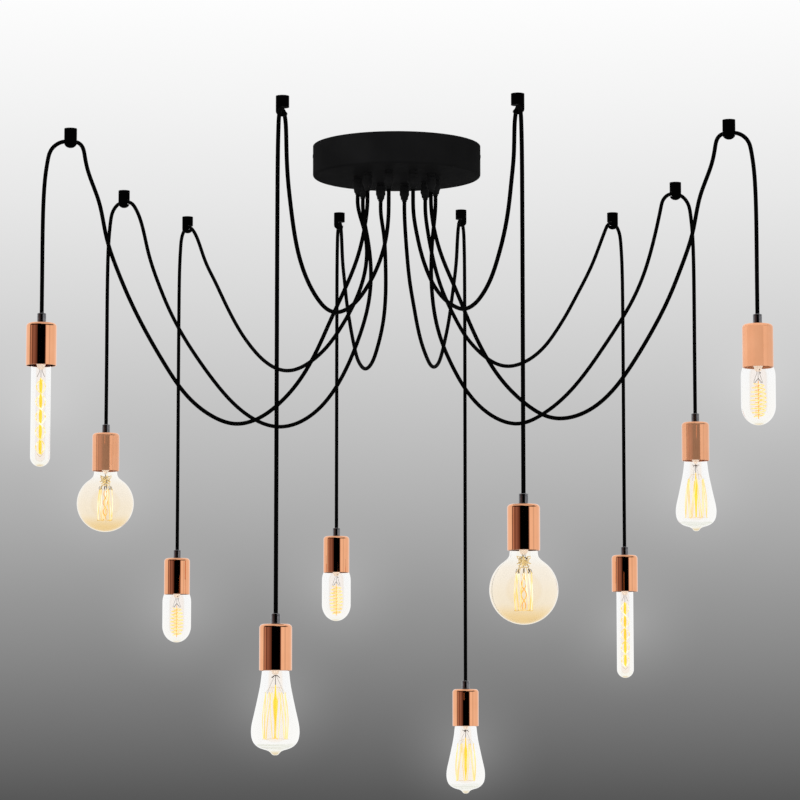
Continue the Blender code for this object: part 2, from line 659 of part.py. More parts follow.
def lampholder_mesh():
    """Model a lampholder: nipple, spun cup and the insulating insert with its screw bore."""
    cup = CUP_DIAMETER / 2
    edge = min(CUP_EDGE_RADIUS, cup / 2)
    inner = cup - CUP_WALL
    nipple = NIPPLE_DIAMETER / 2
    face = -CUP_HEIGHT + INSERT_RECESS
    bore = CAP_DIAMETER / 2 + CAP_CLEARANCE
    profile = [(0.0, NIPPLE_HEIGHT), (nipple - NIPPLE_CHAMFER, NIPPLE_HEIGHT),
               (nipple, NIPPLE_HEIGHT - NIPPLE_CHAMFER), (nipple, 0.0)]
    for step in range(CUP_EDGE_STEPS + 1):
        angle = math.pi / 2 * step / CUP_EDGE_STEPS
        profile.append((cup - edge * (1 - math.sin(angle)), -edge * (1 - math.cos(angle))))
    profile += [(cup, -CUP_HEIGHT), (inner, -CUP_HEIGHT), (inner, face), (bore, face),
                (bore, -CAP_SEAT_DEPTH), (0.0, -CAP_SEAT_DEPTH)]
    return lathe("lampholder", profile, CUP_SEGMENTS)


def tube_outline(diameter, length, shoulder_shares, dome_share):
    """Return a tubular lamp's glass outline: shoulder, straight side and domed end."""
    radius = diameter / 2
    points = [(share * radius, depth * length) for share, depth in shoulder_shares]
    dome = quarter_round(radius, (1 - dome_share) * length, -dome_share * length, DOME_STEPS)
    return points + [(across, -height) for across, height in dome]


def long_tube_outline():
    """Return the long thin tube."""
    return tube_outline(LONG_TUBE_DIAMETER, LONG_TUBE_GLASS_LENGTH, LONG_TUBE_SHOULDER_SHARES,
                        LONG_TUBE_DOME_START_SHARE)


def short_tube_outline():
    """Return the short wide tube."""
    return tube_outline(SHORT_TUBE_DIAMETER, SHORT_TUBE_GLASS_LENGTH, SHORT_TUBE_SHOULDER_SHARES,
                        SHORT_TUBE_DOME_START_SHARE)


def globe_outline():
    """Return the globe: a short neck that flares into a ball."""
    radius = GLOBE_DIAMETER / 2
    middle = GLOBE_GLASS_LENGTH - radius
    points = [(share * radius, depth * GLOBE_GLASS_LENGTH) for share, depth in GLOBE_NECK_SHARES]
    for step in range(BALL_STEPS + 1):
        angle = GLOBE_BALL_START_ANGLE - (GLOBE_BALL_START_ANGLE + math.pi / 2) * step / BALL_STEPS
        points.append((radius * math.cos(angle), middle - radius * math.sin(angle)))
    points[-1] = (0.0, GLOBE_GLASS_LENGTH)
    return points


def pear_outline():
    """Return the pear shape with the sealed glass tip at its foot."""
    radius = PEAR_DIAMETER / 2
    points = [(share * radius, depth * PEAR_GLASS_LENGTH) for share, depth in PEAR_OUTLINE_SHARES]
    return points + [(0.0, PEAR_GLASS_LENGTH)]


def inner_wall(outline):
    """Return every other outline point moved inwards by the glass wall, from foot to root."""
    points = []
    for i in range(len(outline) - 1, -1, -2):
        across, depth = outline[i]
        if i == len(outline) - 1:
            points.append((0.0, depth - GLASS_WALL))
            continue
        before = outline[max(i - 1, 0)]
        after = outline[i + 1]
        run = Vector((after[0] - before[0], after[1] - before[1])).normalized()
        points.append((across - run.y * GLASS_WALL, depth + run.x * GLASS_WALL))
    return points


def lamp_mesh(name, outline, segments):
    """Model a lamp as one hollow wall: cap and glass outside, open at the contact.

    The outline runs down from the cap. Its depths count from the cap's lower edge.
    """
    cap = CAP_DIAMETER / 2
    root = GLASS_ROOT_DIAMETER / 2
    vent = CAP_VENT_DIAMETER / 2
    outside = [(vent, CAP_LENGTH), (CAP_CONTACT_DIAMETER / 2, CAP_LENGTH),
               (cap, CAP_LENGTH - CAP_CONTACT_TAPER), (cap, 0.0), (root, 0.0)]
    outside += [(across, -depth) for across, depth in outline]
    inside = [(across, -depth) for across, depth in inner_wall(outline)]
    inside.append((root - GLASS_WALL, GLASS_WALL))
    inside.append((root - GLASS_WALL, CAP_LENGTH - CAP_CONTACT_TAPER - GLASS_WALL))
    inside.append((vent, CAP_LENGTH - GLASS_WALL))
    bm = bmesh.new()
    verts = [bm.verts.new((across, 0.0, height)) for across, height in outside + inside]
    foot = len(outside) - 1
    edges = [bm.edges.new((verts[i], verts[i + 1])) for i in range(len(verts) - 1) if i != foot]
    edges.append(bm.edges.new((verts[-1], verts[0])))
    bmesh.ops.spin(bm, geom=verts + edges, cent=(0.0, 0.0, 0.0), axis=(0.0, 0.0, 1.0),
                   angle=math.tau, steps=segments, use_merge=True)
    return close_mesh(name, bm)


LAMP_SHAPES = {
    "long_tube": (long_tube_outline, TUBE_SEGMENTS),
    "short_tube": (short_tube_outline, TUBE_SEGMENTS),
    "pear": (pear_outline, BALLOON_SEGMENTS),
    "globe": (globe_outline, BALLOON_SEGMENTS),
}


def build_canopy(black, steel, white):
    """Build the canopy cover with what it hides."""
    cover = boolean(canopy_mesh(), screw_bore(COVER_SCREW_DIAMETER / 2 + TOUCH_GAP), "DIFFERENCE")
    add_object("canopy_cover", cover, black)
    add_object("mounting_bracket", bracket_mesh(), steel)
    block = add_object("terminal_block", terminal_block_mesh(), white)
    block.location = (0.0, 0.0, -BRACKET_THICKNESS - TOUCH_GAP)
    screw = cover_screw_mesh()
    seat = CANOPY_DIAMETER / 2 + TOUCH_GAP
    for name, side in (("cover_screw_left", -1), ("cover_screw_right", 1)):
        thing = add_object(name, screw, steel)
        thing.location = (side * seat, 0.0, -COVER_SCREW_DEPTH)
        thing.rotation_euler = (0.0, side * math.pi / 2, 0.0)


def build_pendant(pendant, meshes, black, fabric):
    """Build one hook, its two stretches of cord, its lampholder and its lamp."""
    label = f"{pendant.number:02d}"
    hook = add_object(f"ceiling_hook_{label}", meshes["hook"], black)
    hook.location = hook_place(pendant)
    hook.rotation_euler.z = math.radians(pendant.hook_turn) + math.pi * (pendant.open_side < 0)
    swag = cord_points(swag_knots(pendant), SWAG_RUN_PER_POINT, SWAG_TURN_PER_POINT)
    cord_tube(f"swag_cord_{label}", swag, fabric)
    hole = cord_hole(pendant)
    swing = add_empty(f"pendant_{label}_swing", hole)
    drop = cord_points(drop_knots(pendant), DROP_RUN_PER_POINT, DROP_TURN_PER_POINT)
    cord_tube(f"drop_cord_{label}", drop, fabric, swing, hole)
    top = drop_axis(pendant)
    top.z = -pendant.drop_share * LONGEST_DROP
    holder = add_object(f"lampholder_{label}", meshes["lampholder"], None, swing)
    holder.location = top - hole
    lamp = add_object(f"lamp_{label}", meshes[pendant.lamp], None, swing)
    lamp.location = holder.location - Vector((0.0, 0.0, CAP_SEAT_DEPTH + TOUCH_GAP + CAP_LENGTH))


def main():
    """Build the whole chandelier."""
    remove_all_objects()
    black = finish("satin_black_steel", (0.012, 0.012, 0.013), 0.45, 0.0)
    steel = finish("zinc_plated_steel", (0.55, 0.56, 0.58), 0.35, 1.0)
    white = finish("white_nylon", (0.80, 0.80, 0.78), 0.50, 0.0)
    fabric = finish("black_braided_fabric", (0.010, 0.010, 0.011), 0.90, 0.0)
    copper = finish("polished_rose_copper", (0.80, 0.42, 0.27), 0.15, 1.0)
    glass = finish("clear_glass", (0.98, 0.95, 0.88), 0.02, 0.0, 1.0)
    build_canopy(black, steel, white)
    meshes = {"hook": hook_mesh(), "lampholder": lampholder_mesh()}
    meshes["lampholder"].materials.append(copper)
    for kind, (outline, segments) in LAMP_SHAPES.items():
        meshes[kind] = lamp_mesh(kind, outline(), segments)
        meshes[kind].materials.append(glass)
    for pendant in PENDANTS:
        build_pendant(pendant, meshes, black, fabric)


main()
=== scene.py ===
"""Dresses a spider chandelier: its canopy, cords, ceiling hooks, lampholders and lamps.

Lengths are in metres, in the frame of the part. The ceiling is z = 0 and -Y faces the room.
"""
import functools
import json
import logging
import math
from dataclasses import dataclass
from enum import Enum
from typing import Callable, Iterable, Sequence

import bpy
import numpy as np
from mathutils import Matrix, Vector


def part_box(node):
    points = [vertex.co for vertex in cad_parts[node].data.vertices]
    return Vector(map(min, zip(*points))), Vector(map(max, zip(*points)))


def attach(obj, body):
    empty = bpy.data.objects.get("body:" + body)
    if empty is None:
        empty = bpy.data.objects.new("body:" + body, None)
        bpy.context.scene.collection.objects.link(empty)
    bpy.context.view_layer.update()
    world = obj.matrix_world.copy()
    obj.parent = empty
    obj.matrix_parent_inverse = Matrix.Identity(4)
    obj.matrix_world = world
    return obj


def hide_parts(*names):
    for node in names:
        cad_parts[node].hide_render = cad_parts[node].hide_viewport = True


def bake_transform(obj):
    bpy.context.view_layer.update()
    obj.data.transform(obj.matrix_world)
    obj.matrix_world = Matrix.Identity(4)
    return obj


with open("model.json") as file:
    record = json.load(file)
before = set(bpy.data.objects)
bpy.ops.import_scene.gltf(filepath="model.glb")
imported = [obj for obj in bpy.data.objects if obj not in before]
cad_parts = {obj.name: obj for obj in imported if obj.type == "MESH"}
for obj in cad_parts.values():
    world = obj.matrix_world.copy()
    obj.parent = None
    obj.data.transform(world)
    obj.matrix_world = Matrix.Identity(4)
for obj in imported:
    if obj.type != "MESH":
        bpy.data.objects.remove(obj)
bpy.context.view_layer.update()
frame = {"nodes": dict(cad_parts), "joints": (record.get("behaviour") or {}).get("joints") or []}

log = logging.getLogger("chandelier")

Point = tuple[float, float, float]
Station = tuple[float, float]
Colour = tuple[float, float, float]
Stop = tuple[float, Colour]
Piece = bpy.types.Object
Pieces = list[tuple[Piece, str]]
Socket = bpy.types.NodeSocket


class LampKind(Enum):
    """The four kinds of lamp that the chandelier carries."""

    LONG_TUBE = "long_tube"
    SHORT_TUBE = "short_tube"
    PEAR = "pear"
    GLOBE = "globe"


class Polish(Enum):
    """How much of a copper cup's light is mirrored: the rest is its lacquer's own colour."""

    # SOFT and SATIN are copies of the one copper, less mirrored and lighter: painted light on those
    # cups
    MIRROR = 1.0
    SOFT = 0.60
    SATIN = 0.16


class Ends(Enum):
    """How the first and the last ring of a turned piece are finished."""

    CAPPED = "capped"
    JOINED = "joined"
    OPEN = "open"


def grey(level: float) -> Colour:
    """Return a neutral colour."""
    return (level, level, level)


def greys(*stops: Station) -> tuple[Stop, ...]:
    """Return the neutral colours of a ramp from their places and levels."""
    return tuple((place, grey(level)) for place, level in stops)


# Modelling


class Bench:
    """Blender's modelling operators, used on one piece at a time."""

    # Edges flatter than these angles, in degrees, are shaded smooth
    CRISP, SHARP, USUAL, EDGED, WIRY, ROUND = 30.0, 32.0, 35.0, 40.0, 50.0, 60.0

    @staticmethod
    def clear() -> None:
        """Leave edit mode and select nothing."""
        if bpy.context.object is not None and bpy.context.object.mode == "EDIT":
            bpy.ops.object.mode_set(mode="OBJECT")
        bpy.ops.object.select_all(action="DESELECT")

    @staticmethod
    def pick(piece: Piece) -> None:
        """Select one piece alone and make it active."""
        Bench.clear()
        piece.select_set(True)
        bpy.context.view_layer.objects.active = piece

    @staticmethod
    def shade(angle: float) -> None:
        """Shade the active piece smooth over edges flatter than an angle in degrees."""
        bpy.ops.object.shade_smooth_by_angle(angle=math.radians(angle))

    @staticmethod
    def turned(name: str, profile: Sequence[Station], sides: int, ends: Ends,
               smooth_angle: float = USUAL) -> Piece:
        """Turn a piece about the Z axis by extruding and resizing a ring.

        Args:
            name: The piece's name.
            profile: (radius, height) stations, from one end to the other.
            sides: How many sides the ring has.
            ends: How the two end rings are finished.
            smooth_angle: Edges flatter than this many degrees are shaded smooth.

        Returns:
            The piece, with its origin at the world's.
        """
        Bench.clear()
        radius, height = profile[0]
        bpy.ops.mesh.primitive_circle_add(vertices=sides, radius=radius,
                                          location=(0.0, 0.0, height), enter_editmode=True)
        piece = bpy.context.object
        piece.name = name
        piece.data.name = name
        bpy.ops.mesh.select_all(action="SELECT")
        for wider, lower in profile[1:]:
            bpy.ops.mesh.extrude_region_move(
                TRANSFORM_OT_translate={"value": (0.0, 0.0, lower - height)})
            share = wider / radius
            bpy.ops.transform.resize(value=(share, share, 1.0),
                                     center_override=(0.0, 0.0, lower))
            radius, height = wider, lower
        if ends is Ends.JOINED:
            Bench.select_border()
            bpy.ops.mesh.bridge_edge_loops()
        elif ends is Ends.CAPPED:
            bpy.ops.mesh.edge_face_add()
            Bench.select_border()
            bpy.ops.mesh.edge_face_add()
        bpy.ops.mesh.select_all(action="SELECT")
        bpy.ops.mesh.normals_make_consistent(inside=False)
        bpy.ops.object.mode_set(mode="OBJECT")
        bpy.ops.object.transform_apply(location=True, rotation=True, scale=True)
        Bench.shade(smooth_angle)
        return piece

    @staticmethod
    def select_border() -> None:
        """Select the open edges of the mesh that is being edited."""
        bpy.ops.mesh.select_mode(type="EDGE")
        bpy.ops.mesh.select_all(action="DESELECT")
        bpy.ops.mesh.select_non_manifold()

    @staticmethod
    def fill_border(piece: Piece, chosen: Callable[[Vector], bool]) -> None:
        """Close an open border of a piece.

        Args:
            piece: The piece.
            chosen: Tells by a point's place whether it is on the border that is closed.
        """
        Bench.pick(piece)
        bpy.ops.object.mode_set(mode="EDIT")
        Bench.select_border()
        bpy.ops.object.mode_set(mode="OBJECT")
        for edge in piece.data.edges:
            ends = [piece.data.vertices[index].co for index in edge.vertices]
            edge.select = edge.select and all(map(chosen, ends))
        bpy.ops.object.mode_set(mode="EDIT")
        bpy.ops.mesh.edge_face_add()
        bpy.ops.mesh.select_all(action="SELECT")
        bpy.ops.mesh.normals_make_consistent(inside=False)
        bpy.ops.object.mode_set(mode="OBJECT")

    @staticmethod
    def block(name: str, low: Point, high: Point) -> Piece:
        """Add a box between two corners.

        Args:
            name: The box's name.
            low: Its lower corner.
            high: Its upper corner.

        Returns:
            The box, with its origin at the world's.
        """
        Bench.clear()
        middle = [(a + b) / 2 for a, b in zip(low, high)]
        bpy.ops.mesh.primitive_cube_add(size=1.0, location=middle)
        piece = bpy.context.object
        piece.name = name
        piece.scale = [b - a for a, b in zip(low, high)]
        bpy.ops.object.transform_apply(location=True, rotation=True, scale=True)
        return piece

    @staticmethod
    def apply(piece: Piece, kind: str, **settings: object) -> None:
        """Add a modifier with its settings and apply it.

        Args:
            piece: The piece.
            kind: The modifier's type.
            **settings: The modifier's properties.
        """
        modifier = piece.modifiers.new(kind.lower(), kind)
        for key, value in settings.items():
            setattr(modifier, key, value)
        Bench.pick(piece)
        bpy.ops.object.modifier_apply(modifier=modifier.name)

    @staticmethod
    def shell(piece: Piece, wall: float) -> None:
        """Give an open surface its wall, inwards."""
        Bench.apply(piece, "SOLIDIFY", thickness=wall, offset=-1.0, use_even_offset=True)

    @staticmethod
    def soften(piece: Piece, width: float) -> None:
        """Round the sharp edges of a piece."""
        Bench.apply(piece, "BEVEL", width=width, segments=2, limit_method="ANGLE",
                    angle_limit=math.radians(Bench.SHARP), harden_normals=False)
        Bench.shade(Bench.EDGED)

    @staticmethod
    def cut(piece: Piece, tool: Piece) -> None:
        """Cut a tool out of a piece and throw the tool away."""
        Bench.apply(piece, "BOOLEAN", operation="DIFFERENCE", solver="EXACT", object=tool)
        bpy.data.objects.remove(tool)

    @staticmethod
    def place(piece: Piece, matrix: Matrix) -> Piece:
        """Move a piece's mesh, so that its object stays at the origin."""
        piece.data.transform(matrix)
        piece.data.update()
        return piece

    @staticmethod
    def copy(piece: Piece, name: str, matrix: Matrix) -> Piece:
        """Copy a piece to its place.

        Args:
            piece: The model.
            name: The copy's name.
            matrix: Where the copy goes.

        Returns:
            The copy, with a mesh of its own.
        """
        mesh = piece.data.copy()
        mesh.name = name
        twin = bpy.data.objects.new(name, mesh)
        bpy.context.scene.collection.objects.link(twin)
        return Bench.place(twin, matrix)

    @staticmethod
    def discard(piece: Piece) -> None:
        """Remove a piece that was only a model for its copies."""
        bpy.data.objects.remove(piece)

    @staticmethod
    def join(name: str, pieces: Sequence[Piece]) -> Piece:
        """Join several meshes into one piece.

        Args:
            name: The joined piece's name.
            pieces: The pieces, the first of which stays.

        Returns:
            The joined piece.
        """
        Bench.clear()
        for piece in pieces:
            piece.select_set(True)
        bpy.context.view_layer.objects.active = pieces[0]
        bpy.ops.object.join()
        pieces[0].name = name
        return pieces[0]

    @staticmethod
    def wires(name: str, lines: Iterable[Sequence[Point]], radius: float,
              resolution: int = 1) -> Piece:
        """Model round wires along lines of points.

        Args:
            name: The piece's name.
            lines: The lines.
            radius: The wires' radius.
            resolution: How finely the wires are rounded.

        Returns:
            The wires, as one mesh.
        """
        curve = bpy.data.curves.new(name, "CURVE")
        curve.dimensions = "3D"
        curve.bevel_depth = radius
        curve.bevel_resolution = resolution
        curve.use_fill_caps = True
        for line in lines:
            spline = curve.splines.new("POLY")
            spline.points.add(len(line) - 1)
            for target, point in zip(spline.points, line):
                target.co = (*point, 1.0)
        piece = bpy.data.objects.new(name, curve)
        bpy.context.scene.collection.objects.link(piece)
        Bench.pick(piece)
        bpy.ops.object.convert(target="MESH")
        piece = bpy.context.object
        Bench.shade(Bench.WIRY)
        return piece


def natural_curve(points: Sequence[Sequence[float]], samples: int) -> np.ndarray:
    """Return a natural cubic curve through points, by chord length.

    Args:
        points: The knots, in any number of dimensions.
        samples: How many evenly spread samples to return.

    Returns:
        One row of coordinates for each sample.
    """
    knots = np.array(points, dtype=float)
    steps = np.linalg.norm(np.diff(knots, axis=0), axis=1)
    at = np.concatenate(([0.0], np.cumsum(steps)))
    count = len(knots)
    matrix = np.eye(count)
    right = np.zeros_like(knots)
    for i in range(1, count - 1):
        before, after = steps[i - 1], steps[i]
        matrix[i, i - 1:i + 2] = (before, 2 * (before + after), after)
        right[i] = 6 * ((knots[i + 1] - knots[i]) / after - (knots[i] - knots[i - 1]) / before)
    bend = np.linalg.solve(matrix, right)
    where = np.linspace(0.0, at[-1], samples)
    span = np.clip(np.searchsorted(at, where, side="right") - 1, 0, count - 2)
    width = steps[span][:, None]
    low = (where - at[span])[:, None]
    high = width - low
    return ((bend[span] * high ** 3 + bend[span + 1] * low ** 3) / (6 * width)
            + (knots[span] / width - bend[span] * width / 6) * high
            + (knots[span + 1] / width - bend[span + 1] * width / 6) * low)


def arc(centre: Station, across: float, down: float, start: float, end: float,
        steps: int) -> list[Station]:
    """Draw part of an ellipse in a profile.

    Args:
        centre: The ellipse's middle.
        across: Its radius across the axis.
        down: Its radius along the axis.
        start: The first angle, in degrees.
        end: The last angle, in degrees.
        steps: How many steps there are.

    Returns:
        The points, one more than the steps.
    """
    points = []
    for step in range(steps + 1):
        angle = math.radians(start + (end - start) * step / steps)
        points.append((centre[0] + across * math.cos(angle), centre[1] + down * math.sin(angle)))
    return points


# Finishes


class Recipe:
    """A material that is being put together around one Principled shader."""

    # A Mix node's colour sockets share their names with others, so they go by their places
    MIX_INPUTS = (0, 6, 7)
    MIX_RESULT = 2

    def __init__(self, name: str) -> None:
        """Start a material with a bare shader.

        Args:
            name: The material's name.
        """
        self.material = bpy.data.materials.new(name)
        self.material.use_nodes = True
        self.tree = self.material.node_tree
        self.shader = self.tree.nodes["Principled BSDF"]
        self._object_space: Socket | None = None

    def node(self, kind: str, **settings: object) -> bpy.types.Node:
        """Add a node and set its properties.

        Args:
            kind: The node's type.
            **settings: The node's properties.

        Returns:
            The node.
        """
        made = self.tree.nodes.new(kind)
        for key, value in settings.items():
            setattr(made, key, value)
        return made

    def link(self, source: Socket | float | Colour, target: Socket) -> None:
        """Feed an input.

        Args:
            source: Another node's output, or the input's own number or colour.
            target: The input.
        """
        if isinstance(source, Socket):
            self.tree.links.new(source, target)
        else:
            target.default_value = (*source, 1.0) if isinstance(source, tuple) else source

    def set(self, **values: float | Colour) -> None:
        """Set the shader's own sockets. An underscore in a name stands for a space."""
        for key, value in values.items():
            self.link(value, self.shader.inputs[key.replace("_", " ")])

    @property
    def object_space(self) -> Socket:
        """The object's own coordinates."""
        if self._object_space is None:
            self._object_space = self.node("ShaderNodeTexCoord").outputs["Object"]
        return self._object_space

    def streaks(self, scale: Point, detail: float) -> Socket:
        """Add a cloudy pattern that is drawn out into streaks.

        Args:
            scale: How many clouds there are in a metre, along each axis.
            detail: How ragged they are.

        Returns:
            Values from 0 to 1.
        """
        mapping = self.node("ShaderNodeMapping")
        mapping.inputs["Scale"].default_value = scale
        self.link(self.object_space, mapping.inputs["Vector"])
        return self.noise(1.0, detail, mapping.outputs["Vector"])

    def noise(self, scale: float, detail: float = 3.0, space: Socket | None = None) -> Socket:
        """Add a cloudy pattern.

        Args:
            scale: How many clouds there are in a metre.
            detail: How ragged they are.
            space: The coordinates, where they aren't the object's.

        Returns:
            Values from 0 to 1.
        """
        made = self.node("ShaderNodeTexNoise")
        made.inputs["Scale"].default_value = scale
        made.inputs["Detail"].default_value = detail
        self.link(space or self.object_space, made.inputs["Vector"])
        return made.outputs["Fac"]

    def ramp(self, factor: Socket, stops: Sequence[Stop], eased: bool = False) -> Socket:
        """Turn a factor into colours.

        Args:
            factor: The factor.
            stops: The colours and their places.
            eased: Whether the steps between the stops are softened.

        Returns:
            The colours.
        """
        made = self.node("ShaderNodeValToRGB")
        if eased:
            made.color_ramp.interpolation = "EASE"
        elements = made.color_ramp.elements
        while len(elements) < len(stops):
            elements.new(1.0)
        for element, (place, colour) in zip(elements, stops):
            element.position = place
            element.color = (*colour, 1.0)
        self.link(factor, made.inputs["Fac"])
        return made.outputs["Color"]

    def levels(self, factor: Socket, low: float, high: float,
               start: float = 0.3, end: float = 0.7) -> Socket:
        """Turn a factor into a number.

        Args:
            factor: The factor.
            low: The number at the start.
            high: The number at the end.
            start: The factor at the start.
            end: The factor at the end.

        Returns:
            The number.
        """
        made = self.node("ShaderNodeMapRange")
        made.inputs["From Min"].default_value = start
        made.inputs["From Max"].default_value = end
        made.inputs["To Min"].default_value = low
        made.inputs["To Max"].default_value = high
        self.link(factor, made.inputs["Value"])
        return made.outputs["Result"]

    def calculate(self, operation: str, first: Socket | float,
                  second: Socket | float = 0.0) -> Socket:
        """Do a sum on sockets or numbers.

        Args:
            operation: The sum.
            first: The first term.
            second: The second term.

        Returns:
            The result.
        """
        made = self.node("ShaderNodeMath", operation=operation)
        for source, target in zip((first, second), made.inputs):
            self.link(source, target)
        return made.outputs["Value"]

    def mix(self, share: Socket | float, first: Socket, second: Socket | Colour,
            blend: str = "MIX") -> Socket:
        """Mix two colours.

        Args:
            share: How much of the mixture is taken, from 0 to 1.
            first: The colour below.
            second: The colour that is laid over it.
            blend: How the two are combined.

        Returns:
            The mixed colour.
        """
        made = self.node("ShaderNodeMix", data_type="RGBA", blend_type=blend)
        for source, place in zip((share, first, second), self.MIX_INPUTS):
            self.link(source, made.inputs[place])
        return made.outputs[self.MIX_RESULT]

    def bump(self, height: Socket, depth: float, strength: float = 1.0) -> None:
        """Raise the surface by a pattern.

        Args:
            height: The pattern, from 0 to 1.
            depth: How high it stands, in metres.
            strength: How much of it shows.
        """
        made = self.node("ShaderNodeBump")
        made.inputs["Distance"].default_value = depth
        made.inputs["Strength"].default_value = strength
        self.link(height, made.inputs["Height"])
        self.link(made.outputs["Normal"], self.shader.inputs["Normal"])

    def roughen(self, pattern: Socket, low: float, high: float) -> None:
        """Let the surface's roughness run from low to high with a pattern."""
        self.to("Roughness", self.levels(pattern, low, high))

    def to(self, socket: str, source: Socket) -> None:
        """Drive one of the shader's sockets."""
        self.link(source, self.shader.inputs[socket])


@dataclass(frozen=True)
class BlackLacquer:
    """Satin black powder coat on pressed steel, with its fine orange peel."""

    name: str = "satin_black_lacquer"
    deep: Colour = (0.0074, 0.0074, 0.0076)
    worn: Colour = (0.0102, 0.0102, 0.0105)
    roughness: float = 0.55
    peel: float = 0.000015
    gloss: float = 0.0006

    def make(self) -> bpy.types.Material:
        """Mix the finish.

        Returns:
            The material.
        """
        recipe = Recipe(self.name)
        clouds = recipe.noise(18.0)
        recipe.to("Base Color", recipe.ramp(clouds, ((0.3, self.deep), (0.7, self.worn))))
        recipe.roughen(recipe.noise(70.0), self.roughness - 0.05, self.roughness + 0.06)
        recipe.bump(recipe.noise(1100.0, 2.0), self.peel)
        recipe.set(Specular_IOR_Level=self.gloss)
        return recipe.material


@dataclass(frozen=True)
class BlackNylon:
    """Moulded black nylon with a faint sheen of its own."""

    name: str = "moulded_black_nylon"
    deep: Colour = (0.0115, 0.0115, 0.0118)
    light: Colour = (0.0170, 0.0170, 0.0175)
    roughness: float = 0.50
    grain: float = 0.000010
    gloss: float = 0.004

    def make(self) -> bpy.types.Material:
        """Mix the finish.

        Returns:
            The material.
        """
        recipe = Recipe(self.name)
        recipe.to("Base Color", recipe.ramp(recipe.noise(90.0), ((0.3, self.deep),
                                                                 (0.75, self.light))))
        recipe.roughen(recipe.noise(260.0), self.roughness - 0.06, self.roughness + 0.08)
        recipe.bump(recipe.noise(2400.0, 1.0), self.grain)
        recipe.set(Specular_IOR_Level=self.gloss)
        return recipe.material


@dataclass(frozen=True)
class RoseCopper:
    """Spun rose copper: hair lines run round it and its gloss varies a little."""

    polish: Polish
    rose: Colour = (0.885, 0.425, 0.232)
    deep: Colour = (0.835, 0.385, 0.200)
    roughness: float = 0.018
    hairline: float = 0.0000003

    # The satin copy's colour is lifted further, as painted light on that cup
    SATIN_LIFT = 1.07

    def make(self) -> bpy.types.Material:
        """Mix the finish.

        Returns:
            The material.
        """
        recipe = Recipe(f"{self.polish.name.lower()}_rose_copper")
        clouds = recipe.noise(38.0, 4.0)
        lift = self.SATIN_LIFT if self.polish is Polish.SATIN else 1.0
        rose, deep = (tuple(lift * part for part in tone) for tone in (self.rose, self.deep))
        recipe.to("Base Color", recipe.ramp(clouds, ((0.35, rose), (0.80, deep))))
        rings = recipe.streaks((30.0, 30.0, 2600.0), 2.0)
        smears = recipe.noise(120.0, 3.0)
        gloss = recipe.calculate("ADD", recipe.levels(rings, -0.003, 0.003),
                                 recipe.levels(smears, self.roughness - 0.004,
                                               self.roughness + 0.010))
        recipe.to("Roughness", gloss)
        recipe.bump(rings, self.hairline)
        recipe.set(Metallic=self.polish.value, Specular_IOR_Level=0.15)
        return recipe.material


@dataclass(frozen=True)
class BraidedFabric:
    """Black textile braid over a round cord. Its map has turns across and metres along."""

    name: str = "black_braided_fabric"
    thread: Colour = grey(0.0003)
    light: Colour = grey(0.0016)
    carriers: int = 12
    pitch: float = 0.0026
    relief: float = 0.00012

    def make(self) -> bpy.types.Material:
        """Mix the finish.

        Returns:
            The material.
        """
        recipe = Recipe(self.name)
        chart = recipe.node("ShaderNodeUVMap", uv_map=Cord.CHART)
        split = recipe.node("ShaderNodeSeparateXYZ")
        recipe.link(chart.outputs["UV"], split.inputs["Vector"])
        turns = recipe.calculate("MULTIPLY", split.outputs["X"], float(self.carriers))
        along = recipe.calculate("DIVIDE", split.outputs["Y"], self.pitch)
        threads = []
        for operation in ("ADD", "SUBTRACT"):
            phase = recipe.calculate(operation, turns, along)
            angle = recipe.calculate("MULTIPLY", phase, math.pi)
            threads.append(recipe.calculate("ABSOLUTE", recipe.calculate("SINE", angle)))
        braid = recipe.calculate("MAXIMUM", threads[0], threads[1])
        fibres = recipe.noise(5200.0, 2.0)
        cloth = recipe.calculate("ADD", braid, recipe.levels(fibres, -0.25, 0.25))
        # Darker where the braid's relief sinks between strands: painted shade there, over the cord's
        # own near-black
        recipe.to("Base Color", recipe.ramp(cloth, ((0.25, self.thread), (1.0, self.light))))
        recipe.roughen(fibres, 0.78, 0.95)
        recipe.bump(cloth, self.relief, 0.8)
        recipe.set(Specular_IOR_Level=0.008, Sheen_Weight=0.001, Sheen_Roughness=0.5)
        return recipe.material


@dataclass(frozen=True)
class PlatedMetal:
    """A bright plated metal with the clouds of its bath and fine scratches, and a painted glow where
    it has one.
    """

    name: str
    bright: Colour
    dull: Colour
    roughness: float
    lit: float = 0.0
    scratch: float = 0.000006

    def make(self) -> bpy.types.Material:
        """Mix the finish.

        Returns:
            The material.
        """
        recipe = Recipe(self.name)
        clouds = recipe.noise(240.0, 5.0)
        recipe.to("Base Color", recipe.ramp(clouds, ((0.3, self.bright), (0.7, self.dull))))
        scratches = recipe.streaks((3000.0, 240.0, 900.0), 3.0)
        recipe.roughen(scratches, self.roughness - 0.08, self.roughness + 0.12)
        recipe.bump(scratches, self.scratch)
        recipe.set(Metallic=1.0)
        # A painted glow in the metal's own colour, for the filament's light on the wires
        if self.lit:
            recipe.set(Emission_Color=self.bright, Emission_Strength=self.lit)
        return recipe.material


@dataclass(frozen=True)
class MouldedPlastic:
    """An opaque moulded insulator with faint flow marks."""

    name: str
    pale: Colour
    dark: Colour
    roughness: float
    flow_mark: float = 0.00003

    def make(self) -> bpy.types.Material:
        """Mix the finish.

        Returns:
            The material.
        """
        recipe = Recipe(self.name)
        flow = recipe.streaks((140.0, 140.0, 420.0), 3.0)
        recipe.to("Base Color", recipe.ramp(flow, ((0.3, self.dark), (0.7, self.pale))))
        recipe.roughen(recipe.noise(500.0), self.roughness - 0.05, self.roughness + 0.08)
        recipe.bump(flow, self.flow_mark, 0.5)
        return recipe.material


